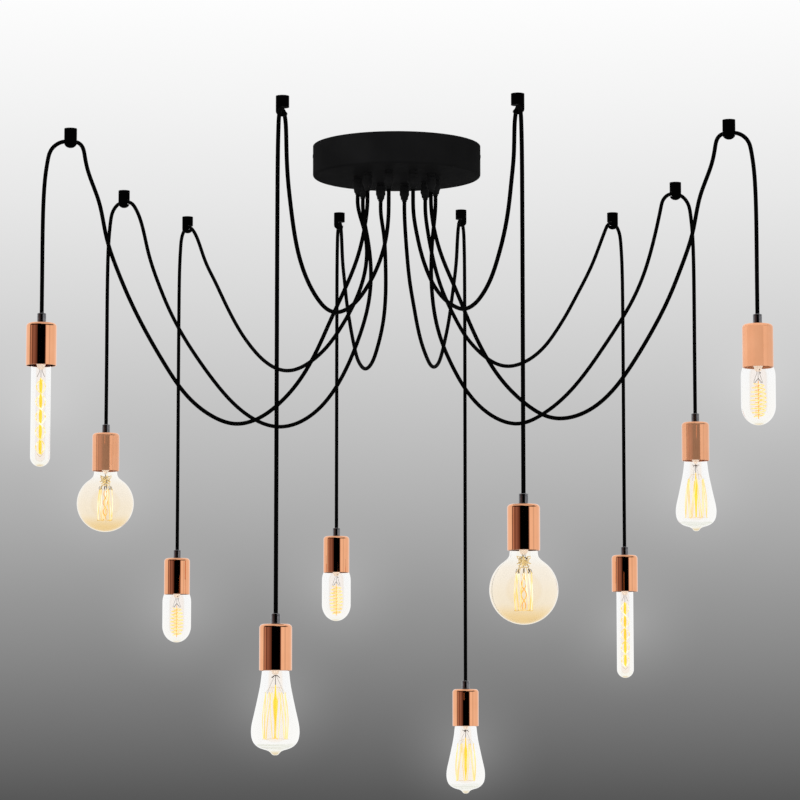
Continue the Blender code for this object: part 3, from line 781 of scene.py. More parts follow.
@dataclass(frozen=True)
class BlownGlass:
    """Thin blown glass, deeper towards the foot and warmed by a painted glow of the lit filament."""

    name: str
    tint: tuple[Stop, ...]
    # Painted light across the glass: a warm filament glow in the middle, a darker ring round it, and
    # an outline darkened far past the glass's own colour as painted shade
    core: Colour
    inner_edge: Colour
    rim: Colour
    ripple: float = 0.00003

    def make(self) -> bpy.types.Material:
        """Mix the finish.

        Returns:
            The material.
        """
        recipe = Recipe(self.name)
        depth = recipe.node("ShaderNodeAttribute", attribute_name=Lamp.DEPTH)
        haze = recipe.levels(recipe.noise(42.0, 3.0), -0.012, 0.012)
        level = recipe.calculate("ADD", depth.outputs["Fac"], haze)
        # How squarely the glass faces the view sets its painted glow in the middle and painted shade
        # at the outline
        slant = recipe.node("ShaderNodeLayerWeight").outputs["Facing"]
        across = recipe.ramp(slant, ((0.080, self.core), (0.105, self.inner_edge),
                                     (0.135, grey(1.0)), (0.72, grey(1.0)), (0.96, self.rim)))
        along = recipe.ramp(level, self.tint, eased=True)
        recipe.to("Base Color", recipe.mix(1.0, along, across, "MULTIPLY"))
        recipe.roughen(recipe.noise(90.0), 0.0, 0.004)
        recipe.bump(recipe.noise(26.0, 1.0), self.ripple, 0.4)
        recipe.set(Transmission_Weight=1.0, IOR=1.12, Specular_IOR_Level=0.30)
        return recipe.material


@dataclass(frozen=True)
class MilkyGlass:
    """Thick pressed glass, milky where it was pinched hot, with a painted glow of the filament below
    it.
    """

    name: str = "pressed_stem_glass"
    milk: Colour = (0.93, 0.88, 0.82)
    clear: Colour = (0.86, 0.78, 0.70)
    glow: Colour = (1.0, 0.84, 0.68)
    vein: float = 0.00010

    def make(self) -> bpy.types.Material:
        """Mix the finish.

        Returns:
            The material.
        """
        recipe = Recipe(self.name)
        veins = recipe.streaks((420.0, 420.0, 160.0), 3.0)
        recipe.to("Base Color", recipe.ramp(veins, ((0.35, self.clear), (0.65, self.milk))))
        recipe.roughen(veins, 0.08, 0.20)
        recipe.bump(veins, self.vein, 0.6)
        # The glow is painted light of the filament, given as emission
        recipe.set(Transmission_Weight=0.45, IOR=1.46, Emission_Color=self.glow,
                   Emission_Strength=0.28)
        return recipe.material


@dataclass(frozen=True)
class GlowingWire:
    """A white-hot to orange filament, whose heat differs from strand to strand."""

    name: str
    hot: Colour
    cool: Colour
    strength: float

    def make(self) -> bpy.types.Material:
        """Mix the finish.

        Returns:
            The material.
        """
        recipe = Recipe(self.name)
        heat = recipe.streaks((310.0, 310.0, 24.0), 1.0)
        recipe.to("Emission Color", recipe.ramp(heat, ((0.38, self.cool), (0.62, self.hot))))
        recipe.set(Base_Color=(0.08, 0.05, 0.03), Roughness=0.5, Metallic=0.0,
                   Emission_Strength=self.strength)
        return recipe.material


# The glass's colour from root to foot. The amber at the clear and pear glass's foot is a painted
# glint of the filament at the sealed tip, the pear's grey bands near its foot are painted
# reflections, and the amber glass deepens towards its foot
CLEAR_TINT = ((0.0, grey(0.985)), (0.90, (0.995, 0.985, 0.965)),
              (0.975, (0.985, 0.975, 0.930)), (1.0, (0.900, 0.770, 0.520)))
PEAR_TINT = ((0.0, grey(0.985)), (0.870, (0.995, 0.990, 0.975)),
             (0.888, (0.900, 0.905, 0.850)), (0.903, (0.990, 0.990, 0.965)),
             (0.918, (0.890, 0.890, 0.830)), (0.932, (0.985, 0.985, 0.950)),
             (1.0, (0.900, 0.800, 0.600)))
AMBER_TINT = ((0.10, (0.990, 0.985, 0.965)), (0.32, (0.980, 0.935, 0.865)),
              (0.70, (0.972, 0.910, 0.805)), (0.97, (0.945, 0.800, 0.545)))


class Finish(Enum):
    """Every finish of the chandelier."""

    LACQUER = BlackLacquer()
    HOOK_LACQUER = BlackLacquer("deep_black_lacquer", grey(0.0006), grey(0.0015), 0.42, gloss=0.002)
    NYLON = BlackNylon()
    BLACK_NICKEL = PlatedMetal("black_nickel", (0.20, 0.20, 0.21), (0.13, 0.13, 0.14), 0.11)
    MIRROR_COPPER = RoseCopper(Polish.MIRROR)
    SOFT_COPPER = RoseCopper(Polish.SOFT)
    SATIN_COPPER = RoseCopper(Polish.SATIN)
    FABRIC = BraidedFabric()
    ZINC = PlatedMetal("zinc_plated_steel", (0.62, 0.63, 0.65), (0.48, 0.49, 0.52), 0.32)
    BRASS = PlatedMetal("rolled_brass", (0.72, 0.55, 0.26), (0.60, 0.42, 0.18), 0.26)
    DARK_WIRE = PlatedMetal("oxidised_wire", (0.22, 0.15, 0.10), (0.09, 0.06, 0.045), 0.36)
    # The cage's hooks glow with painted light, though they are no lamp
    GILT_WIRE = PlatedMetal("gilt_wire", (0.95, 0.72, 0.30), (0.52, 0.33, 0.10), 0.30, 0.40)
    WHITE_PLASTIC = MouldedPlastic("white_nylon", (0.80, 0.80, 0.77), (0.72, 0.72, 0.69), 0.45)
    PORCELAIN = MouldedPlastic("glazed_porcelain", (0.86, 0.84, 0.80), (0.80, 0.78, 0.74), 0.18)
    BLACK_INSULATOR = MouldedPlastic("black_insulator", (0.018, 0.017, 0.016),
                                     (0.010, 0.009, 0.009), 0.30)
    CLEAR_GLASS = BlownGlass("clear_blown_glass", CLEAR_TINT, (0.990, 0.955, 0.930),
                             (0.950, 0.915, 0.880), (0.88, 0.87, 0.85))
    PEAR_GLASS = BlownGlass("pear_blown_glass", PEAR_TINT, (1.0, 0.965, 0.930),
                            (0.985, 0.960, 0.930), (0.88, 0.87, 0.85))
    AMBER_GLASS = BlownGlass("amber_blown_glass", AMBER_TINT, (1.0, 0.985, 0.960),
                             (0.985, 0.965, 0.930), (0.84, 0.77, 0.64))
    STEM_GLASS = MilkyGlass()
    WHITE_FILAMENT = GlowingWire("white_filament", (1.0, 1.0, 0.82), (1.0, 0.66, 0.12), 1.15)
    YELLOW_FILAMENT = GlowingWire("yellow_filament", (1.0, 0.86, 0.36), (1.0, 0.64, 0.16), 1.10)
    YELLOW_CORE = GlowingWire("yellow_core", (1.0, 0.76, 0.05), (1.0, 0.64, 0.03), 1.05)
    ORANGE_CORE = GlowingWire("orange_core", (1.0, 0.56, 0.06), (0.95, 0.38, 0.03), 1.00)

    @functools.cache
    def make(self) -> bpy.types.Material:
        """Return the finish's material, which is made once."""
        return self.value.make()


def finish_piece(piece: Piece, finish: Finish, body: str, slot: str | None = None,
                 replaced: Sequence[str] = ()) -> None:
    """Dress a piece and seat it in the frame.

    Args:
        piece: The finished mesh.
        finish: What it is made of.
        body: The CAD body that it rides on.
        slot: The record's material slot, where it has one; not used.
        replaced: The CAD nodes that it stands for.
    """
    piece.data.materials.clear()
    piece.data.materials.append(finish.make())
    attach(piece, body)
    if replaced:
        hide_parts(*replaced)
    log.info("%s on %s: %d faces", piece.name, body, len(piece.data.polygons))


# Cords


@dataclass(frozen=True)
class Swag:
    """The way one cord takes from its grip to its hook.

    The hook's open side is 1 to the left of the cord's heading through it and -1 to the right.
    """

    number: int
    grip: int
    lamp: LampKind
    open_side: int
    bend: tuple[Station, ...]
    route: tuple[Point, ...]
    # Some cups take the softer or satin copy of the copper, which is painted lighter as a lit copy
    cup: Finish = Finish.MIRROR_COPPER

    @property
    def label(self) -> str:
        """The pendant's number, as the CAD names write it."""
        return f"{self.number:02d}"


# How a cord bends off its hook, as (outward, downward) from the hook's cord hole
HOOK_BEND = ((0.0040, 0.0000), (0.0105, 0.0008), (0.0166, 0.0030), (0.0220, 0.0066),
             (0.0265, 0.0113), (0.0297, 0.0169), (0.0317, 0.0232), (0.0330, 0.0300))
# The tighter way in which the outermost swags come down from their hooks
TIGHT_BEND = ((0.0055, 0.0001), (0.0115, 0.0015), (0.0162, 0.0053), (0.0190, 0.0108),
              (0.0208, 0.0190), (0.0248, 0.0380))
# How a drop straightens out below its bend
DROP_TAIL = ((0.0357, 0.0490), (0.0376, 0.0725), (0.0386, 0.1000), (0.0390, 0.1300))

SWAGS = (
    Swag(1, 1, LampKind.LONG_TUBE, -1, TIGHT_BEND, (
        (-0.047, -0.040, -0.125), (-0.058, -0.043, -0.174), (-0.076, -0.047, -0.221),
        (-0.097, -0.052, -0.268), (-0.118, -0.058, -0.316), (-0.144, -0.065, -0.362),
        (-0.175, -0.073, -0.398), (-0.204, -0.080, -0.419), (-0.236, -0.088, -0.427),
        (-0.270, -0.095, -0.416), (-0.305, -0.103, -0.388), (-0.336, -0.110, -0.345),
        (-0.363, -0.117, -0.299), (-0.387, -0.122, -0.252), (-0.407, -0.127, -0.205),
        (-0.423, -0.130, -0.157), (-0.434, -0.133, -0.106))),
    Swag(2, 9, LampKind.GLOBE, -1, HOOK_BEND[:5], (
        (-0.045, 0.030, -0.129), (-0.039, 0.033, -0.182), (-0.043, 0.040, -0.234),
        (-0.058, 0.050, -0.286), (-0.080, 0.064, -0.336), (-0.109, 0.086, -0.378),
        (-0.143, 0.115, -0.403), (-0.181, 0.149, -0.410), (-0.220, 0.184, -0.396),
        (-0.255, 0.215, -0.368), (-0.286, 0.245, -0.332), (-0.315, 0.273, -0.292),
        (-0.342, 0.298, -0.250), (-0.366, 0.320, -0.205), (-0.386, 0.338, -0.158),
        (-0.403, 0.353, -0.108)), Finish.SOFT_COPPER),
    Swag(3, 0, LampKind.SHORT_TUBE, -1, HOOK_BEND[:3], (
        (-0.049, -0.002, -0.126), (-0.046, 0.013, -0.176), (-0.059, 0.036, -0.221),
        (-0.081, 0.069, -0.259), (-0.105, 0.109, -0.288), (-0.130, 0.153, -0.306),
        (-0.154, 0.200, -0.314), (-0.176, 0.248, -0.312), (-0.197, 0.296, -0.301),
        (-0.218, 0.343, -0.282), (-0.238, 0.388, -0.257), (-0.257, 0.430, -0.228),
        (-0.275, 0.470, -0.195), (-0.292, 0.508, -0.160), (-0.309, 0.545, -0.124),
        (-0.326, 0.582, -0.088))),
    Swag(4, 2, LampKind.PEAR, 1, HOOK_BEND, (
        (-0.012, -0.059, -0.111), (-0.015, -0.066, -0.145), (-0.022, -0.080, -0.177),
        (-0.032, -0.100, -0.206), (-0.044, -0.125, -0.232), (-0.057, -0.153, -0.254),
        (-0.071, -0.183, -0.270), (-0.085, -0.215, -0.279), (-0.099, -0.247, -0.278),
        (-0.112, -0.277, -0.266), (-0.124, -0.303, -0.246), (-0.134, -0.322, -0.219),
        (-0.141, -0.335, -0.187), (-0.146, -0.342, -0.151), (-0.150, -0.346, -0.114),
        (-0.152, -0.348, -0.082))),
    Swag(5, 8, LampKind.SHORT_TUBE, -1, HOOK_BEND[:5], (
        (-0.020, 0.056, -0.122), (-0.017, 0.063, -0.169), (-0.017, 0.079, -0.213),
        (-0.021, 0.108, -0.253), (-0.029, 0.145, -0.284), (-0.037, 0.184, -0.303),
        (-0.045, 0.223, -0.310), (-0.052, 0.263, -0.307), (-0.058, 0.304, -0.297),
        (-0.064, 0.347, -0.281), (-0.069, 0.389, -0.259), (-0.074, 0.429, -0.233),
        (-0.079, 0.466, -0.203), (-0.084, 0.500, -0.169), (-0.088, 0.530, -0.132),
        (-0.092, 0.558, -0.092))),
    Swag(6, 7, LampKind.PEAR, 1, HOOK_BEND[:5], (
        (0.013, 0.064, -0.117), (0.016, 0.079, -0.156), (0.020, 0.102, -0.191),
        (0.026, 0.132, -0.223), (0.032, 0.166, -0.251), (0.039, 0.205, -0.274),
        (0.047, 0.245, -0.291), (0.054, 0.287, -0.299), (0.061, 0.329, -0.297),
        (0.068, 0.370, -0.285), (0.074, 0.408, -0.264), (0.080, 0.442, -0.236),
        (0.086, 0.471, -0.204), (0.091, 0.496, -0.168), (0.096, 0.517, -0.130),
        (0.100, 0.535, -0.092))),
    Swag(7, 3, LampKind.GLOBE, -1, HOOK_BEND, (
        (0.025, -0.058, -0.109), (0.030, -0.068, -0.144), (0.037, -0.084, -0.177),
        (0.046, -0.105, -0.207), (0.057, -0.130, -0.233), (0.070, -0.158, -0.253),
        (0.083, -0.189, -0.267), (0.096, -0.221, -0.275), (0.109, -0.253, -0.273),
        (0.121, -0.284, -0.262), (0.132, -0.311, -0.243), (0.141, -0.333, -0.217),
        (0.149, -0.348, -0.186), (0.155, -0.357, -0.151), (0.159, -0.362, -0.114),
        (0.162, -0.364, -0.082))),
    Swag(8, 6, LampKind.LONG_TUBE, 1, HOOK_BEND[:5], (
        (0.047, 0.044, -0.121), (0.056, 0.060, -0.165), (0.069, 0.084, -0.205),
        (0.087, 0.115, -0.240), (0.106, 0.151, -0.268), (0.128, 0.191, -0.288),
        (0.151, 0.233, -0.300), (0.174, 0.275, -0.302), (0.197, 0.316, -0.294),
        (0.220, 0.356, -0.278), (0.242, 0.394, -0.255), (0.262, 0.430, -0.226),
        (0.281, 0.464, -0.194), (0.299, 0.496, -0.160), (0.317, 0.527, -0.125),
        (0.333, 0.556, -0.090))),
    Swag(9, 5, LampKind.PEAR, 1, HOOK_BEND[:7], (
        (0.055, 0.007, -0.127), (0.052, 0.010, -0.179), (0.054, 0.015, -0.229),
        (0.064, 0.022, -0.281), (0.085, 0.033, -0.331), (0.113, 0.051, -0.374),
        (0.147, 0.077, -0.401), (0.186, 0.107, -0.409), (0.224, 0.136, -0.392),
        (0.259, 0.163, -0.363), (0.291, 0.188, -0.326), (0.320, 0.212, -0.285),
        (0.347, 0.234, -0.244), (0.372, 0.254, -0.202), (0.392, 0.270, -0.158),
        (0.408, 0.283, -0.108)), Finish.SOFT_COPPER),
    Swag(10, 4, LampKind.SHORT_TUBE, 1, TIGHT_BEND, (
        (0.055, -0.031, -0.125), (0.068, -0.036, -0.174), (0.087, -0.043, -0.221),
        (0.106, -0.051, -0.269), (0.127, -0.061, -0.316), (0.153, -0.073, -0.359),
        (0.187, -0.088, -0.396), (0.229, -0.105, -0.420), (0.272, -0.122, -0.414),
        (0.310, -0.138, -0.386), (0.341, -0.152, -0.345), (0.368, -0.164, -0.300),
        (0.391, -0.173, -0.255), (0.410, -0.181, -0.208), (0.426, -0.187, -0.159),
        (0.437, -0.191, -0.107)), Finish.SATIN_COPPER),
)


@dataclass(frozen=True)
class Seat:
    """Where one pendant hangs: its hook's cord hole, its heading and its lampholder."""

    hole: Vector
    heading: Vector
    holder_top: Vector
    lamp_top: Vector

    @classmethod
    def of(cls, label: str) -> "Seat":
        """Read a pendant's seat from the frame.

        Args:
            label: The pendant's number.

        Returns:
            The seat.
        """
        swing = next(joint for joint in frame["joints"]
                     if joint["name"] == f"pendant_{label}_swing")
        tops = []
        for node in (f"lampholder_{label}", f"lamp_{label}"):
            low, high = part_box(node)
            tops.append(Vector(((low[0] + high[0]) / 2, (low[1] + high[1]) / 2, high[2])))
        return cls(Vector(swing["pos_m"]), Vector(swing["axis"]).normalized(), *tops)

    def off_hook(self, outward: float, downward: float) -> Vector:
        """Return a point beside the hook's cord hole."""
        return self.hole + self.heading * outward - Vector((0.0, 0.0, downward))


@dataclass(frozen=True)
class Cord:
    """One fabric cord, unbroken from its grip over its hook to its lampholder."""

    swag: Swag
    seat: Seat
    mouth: Vector
    diameter: float = 0.006
    exit_run: float = 0.014
    relief: float = 0.00010
    ring_step: float = 0.0013
    sides: int = 24
    blend_start: float = -0.003
    blend_end: float = 0.011

    CHART = "braid_map"
    LINE_SAMPLES = 4000
    PATH_SAMPLES = 160

    def knots(self) -> list[Vector]:
        """Set out the cord's route.

        Returns:
            The points that it goes through.
        """
        down = Vector((0.0, 0.0, self.exit_run))
        knots = [self.mouth, self.mouth - down]
        knots += [Vector(point) for point in self.swag.route]
        knots += [self.seat.off_hook(-outward, downward)
                  for outward, downward in reversed(self.swag.bend)]
        knots.append(self.seat.hole)
        knots += [self.seat.off_hook(*place) for place in HOOK_BEND + DROP_TAIL]
        end = self.seat.holder_top
        knots.append(knots[-1].lerp(end, 0.5))
        knots.append(end)
        return knots

    def line(self) -> np.ndarray:
        """Draw the cord's middle line.

        Returns:
            Evenly spaced points, a ring apart.
        """
        samples = natural_curve(self.knots(), self.LINE_SAMPLES)
        run = np.concatenate(([0.0], np.cumsum(np.linalg.norm(np.diff(samples, axis=0), axis=1))))
        wanted = np.linspace(0.0, run[-1], int(run[-1] / self.ring_step))
        return np.stack([np.interp(wanted, run, samples[:, i]) for i in range(3)], axis=1)

    def frames(self, line: np.ndarray) -> tuple[np.ndarray, np.ndarray]:
        """Carry two directions across the cord along it without twist.

        Args:
            line: The cord's middle line.

        Returns:
            Both directions, at each point of the line.
        """
        along = np.gradient(line, axis=0)
        along /= np.linalg.norm(along, axis=1)[:, None]
        across = np.zeros_like(along)
        side = np.cross(along[0], (0.0, 1.0, 0.0))
        for i, heading in enumerate(along):
            side = side - heading * side.dot(heading)
            side = side / np.linalg.norm(side)
            across[i] = side
        return across, np.cross(along, across)

    def tube(self, name: str) -> Piece:
        """Model the cord's braided surface, with its map of turns and metres.

        Args:
            name: The cord's name.

        Returns:
            The cord.
        """
        line = self.line()
        across, up = self.frames(line)
        rings = len(line)
        turn = np.arange(self.sides) * math.tau / self.sides
        row, column = np.meshgrid(np.arange(rings), np.arange(self.sides), indexing="ij")
        radius = self.diameter / 2 - self.relief * ((row + column) % 2)
        verts = (line[:, None, :]
                 + radius[..., None] * (across[:, None, :] * np.cos(turn)[None, :, None]
                                        + up[:, None, :] * np.sin(turn)[None, :, None]))
        after = (column + 1) % self.sides
        first, last = row[:-1] * self.sides, row[1:] * self.sides
        quads = np.stack((first + column[:-1], first + after[:-1], last + after[:-1],
                          last + column[:-1]), axis=-1).reshape(-1, 4)
        mesh = bpy.data.meshes.new(name)
        start = list(range(self.sides))[::-1]
        end = [(rings - 1) * self.sides + i for i in range(self.sides)]
        mesh.from_pydata(verts.reshape(-1, 3).tolist(), [], quads.tolist() + [start, end])
        step = np.linalg.norm(line[1] - line[0])
        chart = mesh.uv_layers.new(name=self.CHART)
        left, right = column[:-1] / self.sides, (column[:-1] + 1) / self.sides
        low, high = row[:-1] * step, row[1:] * step
        corners = np.stack((left, low, right, low, right, high, left, high), axis=-1).reshape(-1)
        caps = np.zeros(4 * self.sides)
        chart.data.foreach_set("uv", np.concatenate((corners, caps)).astype(np.float32))
        mesh.shade_smooth()
        mesh.update()
        piece = bpy.data.objects.new(name, mesh)
        bpy.context.scene.collection.objects.link(piece)
        return piece

    def build(self) -> None:
        label = self.swag.label
        piece = self.tube(f"fabric_cord_{label}")
        piece.data.materials.append(Finish.FABRIC.make())
        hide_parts(f"swag_cord_{label}", f"drop_cord_{label}")
        piece.visible_glossy = False
        tuple(self.seat.off_hook(self.blend_start, 0.0))
        tuple(self.seat.off_hook(self.blend_end, 0.0))
        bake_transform(piece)
        route = natural_curve(self.knots(), self.PATH_SAMPLES)
        length = float(np.linalg.norm(np.diff(self.line(), axis=0), axis=1).sum())
        tuple(self.mouth)
        [tuple(map(float, point)) for point in route]
        log.info("%s: %.3f m long", piece.name, length)


# Canopy


@dataclass(frozen=True)
class Grip:
    """A cord grip: a neck, a body, a taper and a ribbed nose that the cord comes out of."""

    neck_diameter: float = 0.0115
    neck_length: float = 0.004
    body_diameter: float = 0.0145
    body_length: float = 0.0135
    taper_length: float = 0.0065
    nose_diameter: float = 0.0106
    rib_diameter: float = 0.0080
    nose_length: float = 0.003
    bore_diameter: float = 0.0066
    bore_depth: float = 0.005
    root: float = 0.0006
    edge: float = 0.0006
    groove: float = 0.0004
    sides: int = 40

    SEAM_SHARE, WAIST_SHARE, TAPER_POWER = 0.36, 0.4, 0.35

    @property
    def length(self) -> float:
        """How far the grip stands out of the canopy."""
        return self.neck_length + self.body_length + self.taper_length + self.nose_length

    def profile(self) -> list[Station]:
        """Draw the grip from its root down, round the nose and up its bore.

        Returns:
            The profile.
        """
        neck, body = self.neck_diameter / 2, self.body_diameter / 2
        nose, rib, bore = (size / 2 for size in (self.nose_diameter, self.rib_diameter,
                                                 self.bore_diameter))
        top = -self.neck_length
        waist = top - self.body_length
        taper = waist - self.taper_length
        stations = [(neck, self.root), (neck, top), (body - self.edge, top),
                    (body, top - self.edge)]
        seam = top - self.body_length * self.SEAM_SHARE
        stations += [(body, seam), (body - self.groove, seam - self.groove),
                     (body - self.groove, seam - 2 * self.groove), (body, seam - 3 * self.groove)]
        stations += [(body, waist + self.edge), (body - self.edge * self.WAIST_SHARE, waist)]
        stations += [(body + (nose - body) * share ** self.TAPER_POWER,
                      waist - self.taper_length * share) for share in (0.25, 0.5, 0.75, 1.0)]
        stations.append((rib, taper - self.groove / 4))
        for ring in range(2):
            low = taper - self.nose_length * (ring + 0.5) / 2.5
            stations += [(rib, low + self.groove), (rib - self.groove, low + self.groove / 2),
                         (rib - self.groove, low - self.groove / 2), (rib, low - self.groove)]
        lip = -self.length
        corner = (rib - bore) / 3
        stations += [(rib, lip + corner), (rib - corner, lip), (bore + corner, lip),
                     (bore, lip + corner), (bore, lip + self.bore_depth)]
        return stations

    def model(self) -> Piece:
        """Model one grip at the origin."""
        return Bench.turned("cord_grip", self.profile(), self.sides, Ends.CAPPED, Bench.CRISP)


@dataclass(frozen=True)
class Canopy:
    """The pressed ceiling canopy with its ten cord grips and what it hides."""

    diameter: float = 0.252
    height: float = 0.047
    wall: float = 0.0012
    edge: float = 0.004
    sides: int = 160
    grip: Grip = Grip()
    grip_count: int = 10
    first_angle: float = math.radians(6.5)
    ring_radius: float = 0.0588
    screw_drop: float = 0.015
    screw_head: float = 0.0060
    screw_crown: float = 0.0005
    screw_shank: float = 0.0078
    screw_turn: float = math.radians(35.0)
    screw_pole: float = 0.0004
    screw_sides: int = 28
    bracket_edge: float = 0.0003
    bracket_weld: float = 0.000005
    ways: int = 6
    pitch: float = 0.010
    way_screw: float = 0.0042
    way_screw_crown: float = 0.0012
    way_screw_shank: float = 0.002
    way_screw_lift: float = 0.0028

    # A screw's crown, as shares of its radius and height
    CROWN_SHARES = ((0.55, 0.93), (0.85, 0.62), (1.0, 0.2), (1.0, 0.0))
    SHANK_SHARE = 0.57
    # Half a slot's width as a share of the head, and its floor's height as one of the crown
    SLOT_SHARE, SLOT_FLOOR_SHARE = 0.07, 0.45
    # The floor's rings, as shares of its radius
    FLOOR_SHARES = (0.12, 0.40, 0.72)
    HUB_SHARE = 0.01

    def grip_place(self, index: int) -> Vector:
        """Return the place of a cord grip on its ring, at the canopy's underside."""
        angle = self.first_angle + math.tau * index / self.grip_count
        return Vector((-self.ring_radius * math.cos(angle), -self.ring_radius * math.sin(angle),
                       -self.height))

    def grip_mouth(self, index: int) -> Vector:
        """Return the point where a cord leaves its grip."""
        return self.grip_place(index) - Vector((0.0, 0.0, self.grip.length))

    def build(self) -> None:
        """Make the canopy and all that it carries."""
        finish_piece(self.cover(), Finish.LACQUER, "root", "canopy_black", ["canopy_cover"])
        model = self.grip.model()
        for index in range(self.grip_count):
            piece = Bench.copy(model, f"cord_grip_{index + 1:02d}",
                               Matrix.Translation(self.grip_place(index)))
            finish_piece(piece, Finish.NYLON, "root", "canopy_black")
        Bench.discard(model)
        self.build_fixings()

    def cover(self) -> Piece:
        """Model the canopy's wall as one closed turned ring with its middle filled.

        Returns:
            The cover.
        """
        outer = self.diameter / 2
        inner = outer - self.wall
        floor = -self.height
        bead = self.wall / 3
        hub = self.HUB_SHARE * outer
        profile = [(hub, floor + self.wall)]
        profile += [(share * inner, floor + self.wall) for share in self.FLOOR_SHARES]
        profile += arc((inner - self.edge, floor + self.wall + self.edge), self.edge, self.edge,
                       -90, 0, 6)
        profile += [(inner, -bead), (inner + bead, 0.0), (outer - bead, 0.0), (outer, -bead)]
        profile += arc((outer - self.edge, floor + self.edge), self.edge, self.edge, 0, -90, 8)
        profile += [(outer * share, floor) for share in (0.93, *reversed(self.FLOOR_SHARES))]
        profile.append((hub, floor))
        return Bench.turned("canopy_shell", profile, self.sides, Ends.CAPPED, Bench.SHARP)

    def build_fixings(self) -> None:
        """Dress the bracket, the terminal block and the two cover screws."""
        for node, finish, slot in (("mounting_bracket", Finish.ZINC, "zinc_steel"),
                                   ("terminal_block", Finish.WHITE_PLASTIC, "white_nylon")):
            piece = Bench.copy(frame["nodes"][node], f"{node}_edged", Matrix.Identity(4))
            Bench.pick(piece)
            bpy.ops.object.mode_set(mode="EDIT")
            bpy.ops.mesh.select_all(action="SELECT")
            bpy.ops.mesh.remove_doubles(threshold=self.bracket_weld)
            bpy.ops.mesh.dissolve_limited(angle_limit=math.radians(1.0))
            bpy.ops.object.mode_set(mode="OBJECT")
            Bench.soften(piece, self.bracket_edge)
            finish_piece(piece, finish, "root", slot, [node])
        self.build_way_screws()
        self.build_cover_screws()

    def screw(self, name: str, head: float, crown: float, shank: float) -> Piece:
        """Model a round-headed screw with a straight slot, its seat at z = 0.

        Args:
            name: The screw's name.
            head: The head's diameter.
            crown: The head's height.
            shank: How far the shank reaches.

        Returns:
            The screw.
        """
        radius = head / 2
        stem, half = radius * self.SHANK_SHARE, head * self.SLOT_SHARE
        profile = [(self.screw_pole, crown)]
        profile += [(radius * across, crown * up) for across, up in self.CROWN_SHARES]
        profile += [(stem, 0.0), (stem, -shank), (self.screw_pole, -shank)]
        screw = Bench.turned(name, profile, self.screw_sides, Ends.CAPPED)
        slot = Bench.block("slot", (-head, -half, crown * self.SLOT_FLOOR_SHARE),
                           (head, half, crown * 2))
        Bench.cut(screw, slot)
        Bench.shade(Bench.USUAL)
        return screw

    def build_way_screws(self) -> None:
        """Make the screws in the terminal block's wells, as one group."""
        low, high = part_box("terminal_block")
        middle = Vector(((low[0] + high[0]) / 2, (low[1] + high[1]) / 2, low[2]))
        model = self.screw("way_screw", self.way_screw, self.way_screw_crown, self.way_screw_shank)
        turn = Matrix.Rotation(math.pi, 4, "X")
        copies = []
        for way in range(self.ways):
            along = (way - (self.ways - 1) / 2) * self.pitch
            place = Matrix.Translation(middle + Vector((along, 0.0, self.way_screw_lift)))
            spin = Matrix.Rotation(math.radians(25 + 70 * way), 4, "Z")
            copies.append(Bench.copy(model, f"terminal_screw_{way + 1}", place @ spin @ turn))
        Bench.discard(model)
        finish_piece(Bench.join("terminal_screws", copies), Finish.BRASS, "root")

    def build_cover_screws(self) -> None:
        """Make the two screws that hold the cover to the bracket's ears."""
        model = self.screw("cover_screw", self.screw_head, self.screw_crown, self.screw_shank)
        for side, sign in (("left", -1), ("right", 1)):
            seat = Vector((sign * self.diameter / 2, 0.0, -self.screw_drop))
            turn = Matrix.Rotation(sign * math.pi / 2, 4, "Y")
            spin = Matrix.Rotation(self.screw_turn, 4, "Z")
            piece = Bench.copy(model, f"slotted_screw_{side}",
                               Matrix.Translation(seat) @ turn @ spin)
            finish_piece(piece, Finish.NYLON, "root", "screw_black", [f"cover_screw_{side}"])
        Bench.discard(model)


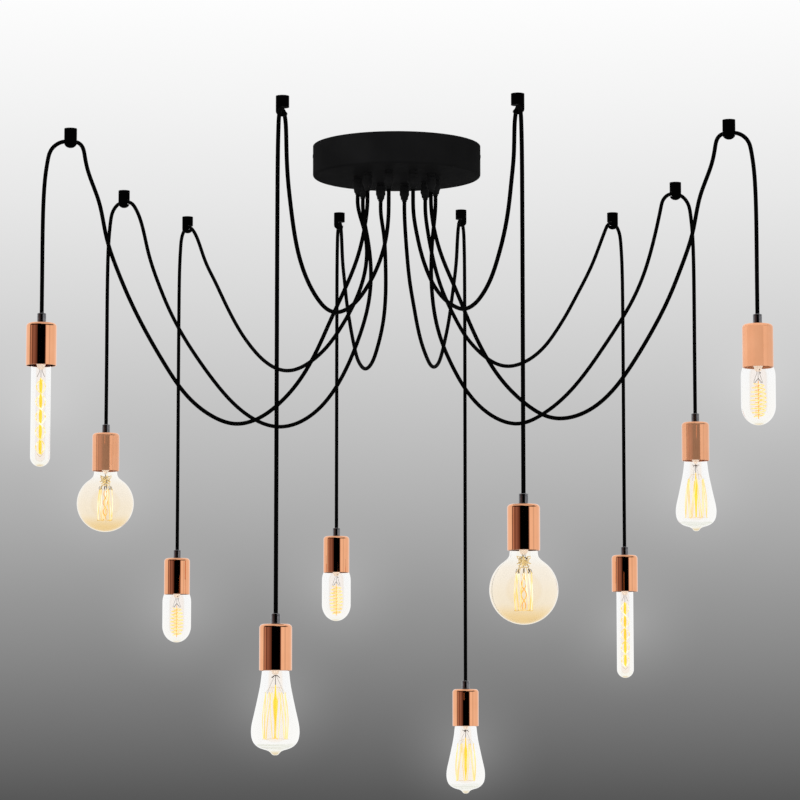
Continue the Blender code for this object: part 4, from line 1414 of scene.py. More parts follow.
@dataclass(frozen=True)
class CeilingHook:
    """A short post with a lip at its foot that the cord is laid into from one side."""

    diameter: float = 0.0185
    barrel: float = 0.021
    height: float = 0.0285
    cord_depth: float = 0.019
    slot_radius: float = 0.0036
    slot_drop: float = 0.0003
    throat_rise: float = 0.0033
    lip_reach: float = 0.006
    screw_hole: float = 0.0042
    edge: float = 0.00045
    sides: int = 56
    overrun: float = 0.004
    pole: float = 0.0006
    hole_sides: int = 24
    channel_sides: int = 40

    def model(self) -> Piece:
        """Model one hook: its cord runs along X and its open side is +Y.

        Returns:
            The hook.
        """
        radius = self.diameter / 2
        profile = [(self.pole, 0.0), (radius * 0.6, 0.0), (radius, 0.0), (radius, -self.barrel)]
        profile += arc((0.0, -self.barrel), radius, self.height - self.barrel, 0, -88, 9)[1:]
        post = Bench.turned("hook", profile, self.sides, Ends.CAPPED)
        beyond = radius + self.overrun
        below = -self.height - self.overrun
        roof = self.throat_rise - self.cord_depth
        sill = -self.slot_radius - self.slot_drop - self.cord_depth
        Bench.cut(post, self.channel(beyond))
        Bench.cut(post, Bench.block("throat", (-beyond, 0.0, sill), (beyond, beyond, roof)))
        Bench.cut(post, Bench.block("side", (-beyond, self.lip_reach, below),
                                    (beyond, beyond, roof)))
        hole = Bench.turned("screw_bore", [(self.screw_hole, 0.001), (self.screw_hole, 0.0),
                                           (self.screw_hole / 2, -self.screw_hole / 2),
                                           (self.screw_hole / 2, -self.cord_depth)],
                            self.hole_sides, Ends.CAPPED)
        Bench.cut(post, hole)
        Bench.soften(post, self.edge)
        return post

    def channel(self, beyond: float) -> Piece:
        """Model the round channel that the cord lies in, as a cutter along X.

        Args:
            beyond: How far it reaches either way.

        Returns:
            The cutter.
        """
        rod = Bench.turned("channel", [(self.slot_radius, -beyond), (self.slot_radius, beyond)],
                           self.channel_sides, Ends.CAPPED)
        turn = Matrix.Rotation(math.pi / 2, 4, "Y")
        axis = Vector((0.0, 0.0, -self.cord_depth - self.slot_drop))
        return Bench.place(rod, Matrix.Translation(axis) @ turn)

    def build(self, seats: dict[str, Seat]) -> None:
        """Make every hook.

        Args:
            seats: Where the pendants hang.
        """
        model = self.model()
        for swag in SWAGS:
            label = swag.label
            seat = seats[label]
            place = Vector((seat.hole.x, seat.hole.y, 0.0))
            along = seat.heading * swag.open_side
            turn = math.atan2(along.y, along.x)
            piece = Bench.copy(model, f"lipped_hook_{label}",
                               Matrix.Translation(place) @ Matrix.Rotation(turn, 4, "Z"))
            finish_piece(piece, Finish.HOOK_LACQUER, "root", "hook_black",
                         [f"ceiling_hook_{label}"])
        Bench.discard(model)


# Lampholders


@dataclass(frozen=True)
class Lampholder:
    """A spun copper cup with a black nipple, an insulating insert and a screw shell."""

    cup_diameter: float = 0.044
    cup_height: float = 0.062
    cup_wall: float = 0.0010
    shoulder: float = 0.0055
    hole_step: float = 0.0010
    flat_step: float = 0.0006
    nipple_diameter: float = 0.013
    nipple_height: float = 0.014
    nipple_bore: float = 0.0066
    nipple_bore_depth: float = 0.006
    nipple_edge: float = 0.0009
    nipple_sides: int = 48
    spigot_step: float = 0.0012
    spigot_length: float = 0.004
    groove_place: float = 0.0028
    groove_half: float = 0.0004
    bevel: float = 0.0003
    bore_edge: float = 0.0006
    collar_diameter: float = 0.0155
    collar_height: float = 0.0010
    insert_recess: float = 0.016
    insert_lift: float = 0.006
    insert_edge: float = 0.001
    insert_gap: float = 0.0012
    face_step: float = 0.0012
    rim_width: float = 0.0034
    rim_slope: float = 0.0008
    shell_gap: float = 0.0007
    shell_rise: float = 0.0035
    shell_wall: float = 0.0005
    seat_depth: float = 0.028
    bore_diameter: float = 0.0273
    clearance: float = 0.0003
    sides: int = 120
    insert_sides: int = 56
    shell_sides: int = 44

    def cup(self) -> Piece:
        """Model the spun cup as one closed wall, open at its mouth and at its nipple hole.

        Returns:
            The cup, with its top at z = 0.
        """
        outer = self.cup_diameter / 2
        inner = outer - self.cup_wall
        hole = self.nipple_diameter / 2 - self.hole_step
        bead = self.cup_wall / 3
        round_in = self.shoulder - self.cup_wall
        profile = [(hole, 0.0), (outer - self.shoulder - self.flat_step, 0.0)]
        profile += arc((outer - self.shoulder, -self.shoulder), self.shoulder, self.shoulder,
                       90, 0, 9)
        profile += [(outer, -self.cup_height * 0.5), (outer, -self.cup_height + bead),
                    (outer - bead, -self.cup_height), (inner + bead, -self.cup_height),
                    (inner, -self.cup_height + bead), (inner, -self.cup_height * 0.5)]
        profile += arc((inner - round_in, -self.shoulder), round_in, round_in, 0, 90, 6)
        profile += [(hole, -self.cup_wall)]
        return Bench.turned("copper_cup", profile, self.sides, Ends.JOINED)

    def nipple(self) -> Piece:
        """Model the nipple: a collar on the cup, a straight barrel and the cord's bore.

        Returns:
            The nipple, on the cup's top.
        """
        radius = self.nipple_diameter / 2
        bore = self.nipple_bore / 2
        top = self.nipple_height
        edge, bevel, half = self.nipple_edge, self.bevel, self.groove_half
        collar, rise = self.collar_diameter / 2, self.collar_height
        spigot = radius - self.spigot_step
        groove = top - self.groove_place
        profile = [(spigot, -self.spigot_length), (spigot, 0.0), (collar - bevel, 0.0),
                   (collar, bevel), (collar, rise - bevel), (collar - bevel, rise),
                   (radius, rise), (radius, groove - half), (radius - bevel, groove - half / 2),
                   (radius - bevel, groove + half / 2), (radius, groove + half)]
        profile += arc((radius - edge, top - edge), edge, edge, 0, 90, 4)
        profile += [(bore + self.bore_edge, top), (bore, top - self.bore_edge),
                    (bore, top - self.nipple_bore_depth)]
        return Bench.turned("cord_nipple", profile, self.nipple_sides, Ends.CAPPED, Bench.CRISP)

    def insert(self) -> Piece:
        """Model the insulating insert: a thick ring inside the cup with a raised inner rim.

        Returns:
            The insert.
        """
        outer = self.cup_diameter / 2 - self.cup_wall - self.clearance
        bore = self.bore_diameter / 2 + self.insert_gap
        face = -self.cup_height + self.insert_recess
        top = -self.seat_depth + self.insert_lift
        step, slope, lip = face + self.face_step, self.rim_slope, self.bore_edge
        profile = [(bore, top), (outer - self.insert_edge, top), (outer, top - self.insert_edge),
                   (outer, step + slope), (outer - slope, step), (bore + self.rim_width, step),
                   (bore + self.rim_width - slope, face - lip), (bore + lip, face - lip),
                   (bore, face)]
        return Bench.turned("insulating_insert", profile, self.insert_sides, Ends.JOINED)

    def screw_shell(self) -> Piece:
        """Model the brass screw shell that lines the insert's bore, with its rolled thread.

        Returns:
            The shell.
        """
        outer = self.bore_diameter / 2 + self.shell_gap
        low = -self.cup_height + self.insert_recess + self.bore_edge
        high = -self.seat_depth + self.shell_rise
        return threaded_sleeve("screw_shell", outer, self.shell_wall, low, high,
                               self.shell_sides)

    def build(self, seats: dict[str, Seat]) -> None:
        """Make every lampholder.

        Args:
            seats: Where the pendants hang.
        """
        cup = self.cup()
        parts = (
            (self.nipple(), "cord_nipple", Finish.BLACK_NICKEL, "hook_black"),
            (self.insert(), "insulating_insert", Finish.PORCELAIN, None),
            (self.screw_shell(), "screw_shell", Finish.BRASS, None),
        )
        for swag in SWAGS:
            label, seat = swag.label, seats[swag.label]
            place = Matrix.Translation(seat.holder_top - Vector((0.0, 0.0, self.nipple_height)))
            piece = Bench.copy(cup, f"copper_cup_{label}", place)
            finish_piece(piece, swag.cup, f"pendant_{label}", "copper", [f"lampholder_{label}"])
            for model, name, finish, slot in parts:
                piece = Bench.copy(model, f"{name}_{label}", place)
                finish_piece(piece, finish, f"pendant_{label}", slot)
        for model in (cup, *(part[0] for part in parts)):
            Bench.discard(model)


# The thread that every lamp's cap and every lampholder's shell share
THREAD_PITCH = 0.0036
THREAD_DEPTH = 0.0007
RINGS_PER_TURN = 8


def threaded_sleeve(name: str, radius: float, wall: float, low: float, high: float,
                    sides: int) -> Piece:
    """Model a thin sleeve whose wall is rolled into a screw thread.

    Args:
        name: The piece's name.
        radius: The thread's crest radius.
        wall: The sheet's thickness.
        low: The lower end's height.
        high: The upper end's height.
        sides: How many sides the sleeve has.

    Returns:
        The sleeve.
    """
    rings = int((high - low) / (THREAD_PITCH / RINGS_PER_TURN))
    heights = [low + (high - low) * i / rings for i in range(rings + 1)]
    sleeve = Bench.turned(name, [(radius, height) for height in heights], sides, Ends.OPEN,
                          Bench.ROUND)
    for vertex in sleeve.data.vertices:
        turn = math.atan2(vertex.co.y, vertex.co.x) / math.tau
        wave = 0.5 - 0.5 * math.cos(math.tau * (vertex.co.z / THREAD_PITCH - turn))
        end = min(vertex.co.z - low, high - vertex.co.z) / THREAD_PITCH
        fade = min(1.0, max(0.0, end))
        share = (radius - THREAD_DEPTH * wave * fade) / radius
        vertex.co.x *= share
        vertex.co.y *= share
    Bench.shell(sleeve, wall)
    Bench.shade(Bench.ROUND)
    return sleeve


# Lamps


@dataclass(frozen=True)
class ScrewCap:
    """The lamp's brass screw cap, its black insulator and its contact."""

    diameter: float = 0.0265
    length: float = 0.026
    wall: float = 0.0004
    contact_diameter: float = 0.010
    insulator_height: float = 0.005
    edge: float = 0.0002

    def model(self) -> Pieces:
        """Model the cap's shell and its insulator, from the cap's lower edge up.

        Returns:
            The cap and its insulator, with their parts' names.
        """
        radius = self.diameter / 2
        high = self.length - self.insulator_height
        shell = threaded_sleeve("cap_shell", radius, self.wall, self.edge, high, 48)
        contact = self.contact_diameter / 2
        profile = [(radius * 0.93, high - 0.001), (radius * 0.95, high + 0.0003),
                   (radius * 0.78, high + 0.0016), (contact + 0.001, self.length - 0.0012),
                   (contact, self.length - 0.0012)]
        cone = Bench.turned("cap_insulator", profile, 40, Ends.CAPPED)
        stud = Bench.turned("cap_contact", [(contact, self.length - 0.0014),
                                            (contact, self.length - 0.0008),
                                            (contact * 0.8, self.length - self.edge),
                                            (contact * 0.3, self.length),
                                            (0.0004, self.length)], 32, Ends.CAPPED)
        return [(Bench.join("screw_cap", [shell, stud]), "screw_cap"), (cone, "cap_insulator")]


@dataclass(frozen=True)
class Glass:
    """The envelope of one kind of lamp, seen as a profile that runs down from its cap."""

    kind: LampKind
    radius: float
    length: float
    root: float = 0.0130
    wall: float = 0.0009
    stations: int = 56
    sides: int = 160

    # Where a tube's shoulder ends and its dome starts, as shares of its length
    TUBE_SHARES = {LampKind.LONG_TUBE: (0.030, 0.905), LampKind.SHORT_TUBE: (0.235, 0.690)}
    # A pear's outline, as shares of its radius and length
    PEAR_SHARES = ((0.43, 0.0), (0.535, 0.045), (0.565, 0.085), (0.615, 0.20), (0.735, 0.37),
                   (0.900, 0.57), (0.985, 0.68), (1.000, 0.735), (0.985, 0.79), (0.915, 0.85),
                   (0.760, 0.898), (0.520, 0.930), (0.300, 0.948), (0.195, 0.968),
                   (0.135, 0.988), (0.0, 1.0))
    # A globe's neck, as (radius, depth), and the angle at which its ball starts
    GLOBE_NECK = ((0.0131, 0.0), (0.0176, 0.0045), (0.0188, 0.0100), (0.0194, 0.0150))
    BALL_START, BALL_STEPS = -57, 14
    DOME_END, DOME_STEPS = 88.5, 16
    TUBE_STEPS = 12
    POLE = 0.0008

    def outline(self) -> list[Station]:
        """Draw the glass from root to foot.

        Returns:
            Its (radius, depth) outline.
        """
        if self.kind in self.TUBE_SHARES:
            return self.tube(*self.TUBE_SHARES[self.kind])
        return self.pear() if self.kind is LampKind.PEAR else self.globe()

    def tube(self, shoulder_share: float, dome_share: float) -> list[Station]:
        """Draw a tube with a round shoulder and a domed end.

        Args:
            shoulder_share: The shoulder's depth, as a share of the length.
            dome_share: Where the dome starts, as a share of the length.

        Returns:
            The outline.
        """
        shoulder, dome = shoulder_share * self.length, dome_share * self.length
        steps = self.TUBE_STEPS
        points = arc((self.root, shoulder), self.radius - self.root, -shoulder, 90, 0, steps)
        points += [(self.radius, shoulder + (dome - shoulder) * i / steps)
                   for i in range(1, steps)]
        return points + arc((0.0, dome), self.radius, self.length - dome, 0, self.DOME_END,
                            self.DOME_STEPS)

    def smooth(self, knots: list[Station]) -> list[Station]:
        """Smooth an outline, which crosses the axis squarely at its foot.

        Args:
            knots: The points that it goes through.

        Returns:
            The smooth outline.
        """
        mirrored = [(-across, depth) for across, depth in reversed(knots[:-1])]
        curve = natural_curve(knots + mirrored, 2 * self.stations - 1)[:self.stations]
        points = [(float(across), float(depth)) for across, depth in curve]
        return [point for point in points if point[0] > self.POLE]

    def pear(self) -> list[Station]:
        """Draw the pear with its sealed tip."""
        return self.smooth([(across * self.radius, down * self.length)
                            for across, down in self.PEAR_SHARES])

    def globe(self) -> list[Station]:
        """Draw the ball with its short flared neck.

        Returns:
            The outline.
        """
        middle = self.length - self.radius
        ball = arc((0.0, middle), self.radius, self.radius, self.BALL_START, 90, self.BALL_STEPS)
        return self.smooth([*self.GLOBE_NECK, *ball[:-1], (0.0, self.length)])

    def model(self) -> Piece:
        """Model the envelope as a thin wall that knows how deep each of its points lies.

        Returns:
            The envelope.
        """
        profile = [(across, -depth) for across, depth in self.outline()]
        glass = Bench.turned("envelope", profile, self.sides, Ends.OPEN, Bench.ROUND)
        Bench.fill_border(glass, lambda place: place.z < -self.length / 2)
        Bench.shell(glass, self.wall)
        Bench.shade(Bench.ROUND)
        Lamp.mark_depth(glass, self.length)
        return glass


@dataclass(frozen=True)
class Cage:
    """What stands inside a lamp: its glass stem, support wires and filament."""

    kind: LampKind
    wire: float = 0.00030
    strand: float = 0.00052
    stem_foot: float = -0.0135
    stem_sides: int = 32
    rod_sides: int = 14
    pinch_start: float = 0.0060
    pinch_length: float = 0.0060
    pinch_share: float = 0.55

    # The stem's flare, as (radius, height), from the neck down to its straight tube
    FLARE = ((0.0112, 0.0), (0.0098, -0.0012), (0.0078, -0.0036), (0.0064, -0.0065),
             (0.0056, -0.0090))
    # The glowing middle of a pear's filament, as (height, radius)
    PEAR_ROD = ((-0.027, 0.0006), (-0.034, 0.0010), (-0.042, 0.0016), (-0.048, 0.0027),
                (-0.056, 0.0028), (-0.068, 0.0020), (-0.082, 0.0015), (-0.0985, 0.0011))

    def stem(self) -> Piece:
        """Model the stem: a flare that is sealed to the neck, and a tube pinched flat.

        Returns:
            The stem.
        """
        foot = self.stem_foot
        profile = [*self.FLARE, (0.0050, foot + 0.0025), (0.0040, foot + 0.0008),
                   (0.0024, foot), (0.0008, foot - 0.0002)]
        stem = Bench.turned("glass_stem", profile, self.stem_sides, Ends.CAPPED, Bench.ROUND)
        for vertex in stem.data.vertices:
            past = (-vertex.co.z - self.pinch_start) / self.pinch_length
            vertex.co.y *= 1.0 - self.pinch_share * min(1.0, max(0.0, past))
        Lamp.mark_depth(stem, -foot)
        return stem

    @staticmethod
    def around(radius: float, turn: float, height: float) -> Point:
        """Return a point by its distance from the lamp's axis, its turn and its height."""
        angle = math.tau * turn
        return (radius * math.cos(angle), radius * math.sin(angle), height)

    def cage(self, top: float, foot: float, top_radius: float, foot_radius: float,
             strands: int) -> tuple[list[Point], list[list[Point]]]:
        """Return a filament that runs up and down round a cage, and the hooks it hangs on.

        Args:
            top: The upper hooks' height.
            foot: The lower hooks' height.
            top_radius: How far out the upper hooks stand.
            foot_radius: How far out the lower hooks stand.
            strands: How many times the filament runs from one crown of hooks to the other.

        Returns:
            The filament's line and the hooks' lines.
        """
        steps = 8
        lean = 0.34
        line: list[Point] = []
        hooks: list[list[Point]] = []
        for strand in range(strands):
            down = strand % 2 == 0
            sign = 1 if down else -1
            for step in range(steps + 1):
                share = step / steps if down else 1 - step / steps
                radius = top_radius + (foot_radius - top_radius) * share
                bow = 1.0 + 0.05 * math.sin(math.pi * share) * (1 + strand % 3)
                turn = (strand + sign * lean * (2 * share - 1)) / strands
                line.append(self.around(radius * bow, turn, top + (foot - top) * share))
            radius, height = (foot_radius, foot) if down else (top_radius, top)
            turn = (strand + 0.5) / strands
            past = -0.0016 if down else 0.0016
            line.append(self.around(radius * 1.02, turn, height + past))
            hub = height + (-0.0010 if down else 0.0085)
            hooks.append([(0.0, 0.0, hub), self.around(radius * 0.60, turn, hub + past * 0.3),
                          self.around(radius * 0.96, turn, height + past * 1.3),
                          self.around(radius * 1.10, turn, height + past * 1.1),
                          self.around(radius * 1.08, turn, height + past * 0.2)])
        return line, hooks

    def knot(self, height: float, reach: float, arms: int) -> list[list[Point]]:
        """Draw the short stubs that stand out from the stem's foot.

        Args:
            height: The stubs' lower end.
            reach: How far they stand out.
            arms: How many there are.

        Returns:
            The stubs' lines.
        """
        return [[(0.0, 0.0, height + 0.0030),
                 self.around(reach * 0.55, (arm + 0.3) / arms, height + 0.0022),
                 self.around(reach, (arm + 0.3) / arms, height + 0.0030 * (arm % 2))]
                for arm in range(arms)]

    def petals(self, height: float, reach: float, count: int) -> list[list[Point]]:
        """Draw the open loops of wire that crown a globe's filament.

        Args:
            height: The crown's middle.
            reach: How far the loops stand out.
            count: How many there are.

        Returns:
            The loops' lines.
        """
        loops = []
        for petal in range(count):
            turn = petal / count
            lift = 0.0034 * (1 if petal % 2 else -1)
            loops.append([(0.0, 0.0, height + 0.0010), self.around(reach * 0.55, turn, height + lift),
                          self.around(reach, turn + 0.02, height + lift * 1.4),
                          self.around(reach * 0.95, turn + 0.06, height - 0.0016 + lift),
                          self.around(reach * 0.45, turn + 0.04, height - 0.0022),
                          (0.0, 0.0, height - 0.0014)])
        return loops

    def leads(self, top: float, spread: float) -> list[list[Point]]:
        """Draw the two wires that bring the current to the filament.

        Args:
            top: The filament's top.
            spread: How far out the wires end.

        Returns:
            The wires' lines.
        """
        foot = self.stem_foot
        return [[(side * 0.0016, 0.0, foot + 0.002), (side * 0.0020, 0.0, foot - 0.003),
                 (side * spread * 0.60, side * 0.001, foot * 0.5 + top * 0.5),
                 (side * spread, side * 0.001, top)] for side in (-1, 1)]

    def helix(self, top: float, foot: float, radius: float, turns: float, start: float,
              ends: float) -> list[Point]:
        """Draw a helix that narrows at both ends.

        Args:
            top: Its top.
            foot: Its foot.
            radius: Its radius.
            turns: How many turns it makes.
            start: Where it starts, in turns.
            ends: The share of the radius that is left at its ends.

        Returns:
            The helix.
        """
        steps = int(turns * 30)
        line = []
        for step in range(steps + 1):
            share = step / steps
            swell = radius * (ends + (1 - ends) * math.sin(math.pi * share) ** 0.6)
            line.append(self.around(swell, turns * share + start, top + (foot - top) * share))
        return line

    def rod(self, stations: Sequence[Station]) -> Piece:
        """Model the glowing middle of the filament from (height, radius) stations."""
        return Bench.turned("middle_rod", [(radius, height) for height, radius in stations],
                            self.rod_sides, Ends.CAPPED, Bench.ROUND)

    def model(self) -> Pieces:
        """Model the stem, the wires, the filament and its core."""
        makers = {LampKind.PEAR: self.pear, LampKind.GLOBE: self.globe,
                  LampKind.LONG_TUBE: self.long_tube, LampKind.SHORT_TUBE: self.short_tube}
        return [(self.stem(), "glass_stem")] + makers[self.kind]()

    def pear(self) -> Pieces:
        """Model a pear's wide cage round a thick glowing middle.

        Returns:
            The pieces and their parts' names.
        """
        line, hooks = self.cage(-0.039, -0.0975, 0.0130, 0.0165, 12)
        dark = self.knot(-0.0175, 0.0058, 5)
        dark.append([(0.0, 0.0, self.stem_foot), (0.0, 0.0, -0.032)])
        leads = Bench.wires("leads", self.leads(-0.039, 0.0125), self.wire * 0.5)
        knots = Bench.wires("lead_wires", dark, self.wire * 1.5)
        return [(Bench.join("lead_wires", [knots, leads]), "lead_wires"),
                (Bench.wires("cage_hooks", hooks, self.wire * 0.6), "cage_hooks"),
                (Bench.wires("filament", [line], self.strand * 1.15), "yellow_filament"),
                (self.rod(self.PEAR_ROD), "yellow_core")]

    def globe(self) -> Pieces:
        """Model a globe's narrow cage under its crown of gilt loops.

        Returns:
            The pieces and their parts' names.
        """
        line, hooks = self.cage(-0.0395, -0.0865, 0.0105, 0.0115, 10)
        gilt = hooks + self.petals(-0.0205, 0.0094, 10) + self.petals(-0.0240, 0.0075, 8)
        teeth = [[self.around(0.0088, tooth / 8, -0.0325), self.around(0.0106, tooth / 8, -0.0355),
                  self.around(0.0088, tooth / 8, -0.0385)] for tooth in range(8)]
        dark = self.leads(-0.0365, 0.0080) + [[(0.0, 0.0, self.stem_foot), (0.0, 0.0, -0.034)]]
        dark += teeth + self.knot(-0.0200, 0.0064, 5) + self.knot(-0.0245, 0.0040, 4)
        rod = [self.helix(-0.040, -0.0860, 0.0034, 1.5, start, 0.5) for start in (0.1, 0.6)]
        return [(Bench.wires("lead_wires", dark, self.wire * 1.4), "lead_wires"),
                (Bench.wires("cage_hooks", gilt, self.wire * 2.0), "cage_hooks"),
                (Bench.wires("filament", [line], self.strand * 1.25), "white_filament"),
                (Bench.wires("middle_rod", rod, self.strand * 1.2), "orange_core")]

    def long_tube(self) -> Pieces:
        """Model a long tube's two crossing helices with their lobed glowing middle.

        Returns:
            The pieces and their parts' names.
        """
        top, foot, turns = -0.026, -0.136, 2.5
        lines = [self.helix(top, foot, 0.0070, turns, start, 0.80) for start in (0.25, 0.75)]
        dark = self.leads(top + 0.002, 0.0052)
        dark.append([(0.0, 0.0, self.stem_foot), (0.0, 0.0, top)])
        stations = []
        for step in range(61):
            share = step / 60
            lobe = abs(math.sin(math.tau * turns * share)) ** 0.8
            stations.append((top + (foot - top) * share, 0.0011 + 0.0014 * lobe))
        ends = [[(0.0, 0.0, foot - 0.004), self.around(0.0045, turn, foot + 0.001)]
                for turn in (0.0, 0.5)]
        return [(Bench.wires("lead_wires", dark, self.wire), "lead_wires"),
                (Bench.wires("cage_hooks", ends, self.wire), "cage_hooks"),
                (Bench.wires("filament", lines, self.strand * 1.7), "white_filament"),
                (self.rod(stations), "yellow_core")]

    def short_tube(self) -> Pieces:
        """Model a short tube's close spiral, held by arms on a middle rod.

        Returns:
            The pieces and their parts' names.
        """
        top, foot, turns = -0.031, -0.078, 8.0
        radius = 0.0110
        line = self.helix(top, foot, radius, turns, 0.5, 0.55)
        rod = [[(0.0, 0.0, top + 0.004), (0.0, 0.0, foot - 0.003)]]
        for turn in range(int(turns)):
            height = top + (foot - top) * (turn + 0.5) / turns
            rod += [[(0.0, 0.0, height), (side * reach, -0.0006, height + side * 0.0007)]
                    for side, reach in ((-1, 0.0050), (1, 0.0022))]
        dark = self.leads(top + 0.001, radius * 0.62)
        dark += [[(0.0, 0.0, self.stem_foot), (0.0, 0.0, top + 0.003)]]
        dark += [[(0.0, 0.0, top + 0.008), self.around(radius * 0.62, turn, top + 0.001)]
                 for turn in (0.12, 0.38, 0.62, 0.88)]
        beads = [[(0.0026, -0.002, -0.0150), (0.0027, -0.002, -0.0164)],
                 [(0.0016, -0.002, -0.0108), (0.0017, -0.002, -0.0118)]]
        knots = Bench.wires("knots", beads, 0.0009, 2)
        wires = Bench.wires("lead_wires", dark, self.wire * 0.8)
        return [(Bench.join("lead_wires", [wires, knots]), "lead_wires"),
                (Bench.wires("filament", [line], self.strand * 1.6), "yellow_filament"),
                (Bench.wires("middle_rod", rod, 0.0006), "orange_core")]


class Lamp:
    """The lamps: each has a screw cap, an envelope, a stem, support wires and a filament."""

    DEPTH = "depth_share"
    THREAD_TURN = 0.9
    ENVELOPES = {LampKind.LONG_TUBE: Finish.CLEAR_GLASS, LampKind.SHORT_TUBE: Finish.CLEAR_GLASS,
                 LampKind.PEAR: Finish.PEAR_GLASS, LampKind.GLOBE: Finish.AMBER_GLASS}
    INSIDES = {"screw_cap": Finish.BRASS, "cap_insulator": Finish.BLACK_INSULATOR,
               "glass_stem": Finish.STEM_GLASS, "lead_wires": Finish.DARK_WIRE,
               "cage_hooks": Finish.GILT_WIRE, "white_filament": Finish.WHITE_FILAMENT,
               "yellow_filament": Finish.YELLOW_FILAMENT, "yellow_core": Finish.YELLOW_CORE,
               "orange_core": Finish.ORANGE_CORE}

    @staticmethod
    def mark_depth(piece: Piece, length: float) -> None:
        """Write how far down each point lies, as a share of the length."""
        mesh = piece.data
        mark = mesh.attributes.new(Lamp.DEPTH, "FLOAT", "POINT")
        mark.data.foreach_set("value", [-vertex.co.z / length for vertex in mesh.vertices])

    def __init__(self) -> None:
        """Model the screw cap that all lamps share."""
        self.cap = ScrewCap()
        self.cap_models = self.cap.model()
        self.models: dict[LampKind, Pieces] = {}

    def models_of(self, kind: LampKind, label: str) -> Pieces:
        """Model the glass and the inside of a kind of lamp, once.

        Args:
            kind: The kind of lamp.
            label: A pendant that has it.

        Returns:
            The models and their parts' names.
        """
        if kind not in self.models:
            low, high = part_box(f"lamp_{label}")
            radius = (high[0] - low[0]) / 2
            length = high[2] - low[2] - self.cap.length
            glass = Glass(kind, radius, length).model()
            self.models[kind] = [(glass, "envelope")] + Cage(kind).model()
        return self.models[kind]

    def build(self, swag: Swag, seat: Seat) -> None:
        """Make one lamp in its lampholder, turned by where its thread came to rest.

        Args:
            swag: The cord that it hangs on.
            seat: Where it hangs.
        """
        kind, body = swag.lamp, f"lamp_{swag.label}"
        turn = self.THREAD_TURN * swag.number if kind in (LampKind.PEAR, LampKind.GLOBE) else 0.0
        place = Matrix.Translation(seat.lamp_top - Vector((0.0, 0.0, self.cap.length)))
        spin = Matrix.Rotation(turn, 4, "Z")
        for model, name in self.cap_models + self.models_of(kind, swag.label):
            piece = Bench.copy(model, f"{name}_{swag.label}", place @ spin)
            if name == "envelope":
                slot = "amber_glass" if kind is LampKind.GLOBE else "clear_glass"
                finish_piece(piece, self.ENVELOPES[kind], body, slot, [body])
            else:
                finish_piece(piece, self.INSIDES[name], body)
            piece.visible_glossy = False

    @staticmethod
    def middle(swag: Swag) -> Vector:
        """Return the middle of a lamp."""
        low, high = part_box(f"lamp_{swag.label}")
        return (Vector(low) + Vector(high)) / 2

    def discard_models(self) -> None:
        """Remove the models that the lamps were copied from."""
        for parts in (self.cap_models, *self.models.values()):
            for model, _ in parts:
                Bench.discard(model)


# Studio


@dataclass(frozen=True)
class PhotographCamera:
    """The camera that takes the photograph's view."""

    location: Point = (0.005, -4.4024, -0.8201)
    pitch: float = math.radians(5.666)
    lens: float = 133.3
    sensor: float = 36.0
    reach: float = 60.0

    def build(self) -> None:
        """Put the camera in the scene."""
        data = bpy.data.cameras.new("photograph_camera")
        data.lens = self.lens
        data.sensor_width = self.sensor
        data.clip_end = self.reach
        camera = bpy.data.objects.new("photograph_camera", data)
        camera.location = self.location
        camera.rotation_euler = (math.pi / 2 + self.pitch, 0.0, 0.0)
        bpy.context.scene.collection.objects.link(camera)
        bpy.context.scene.camera = camera


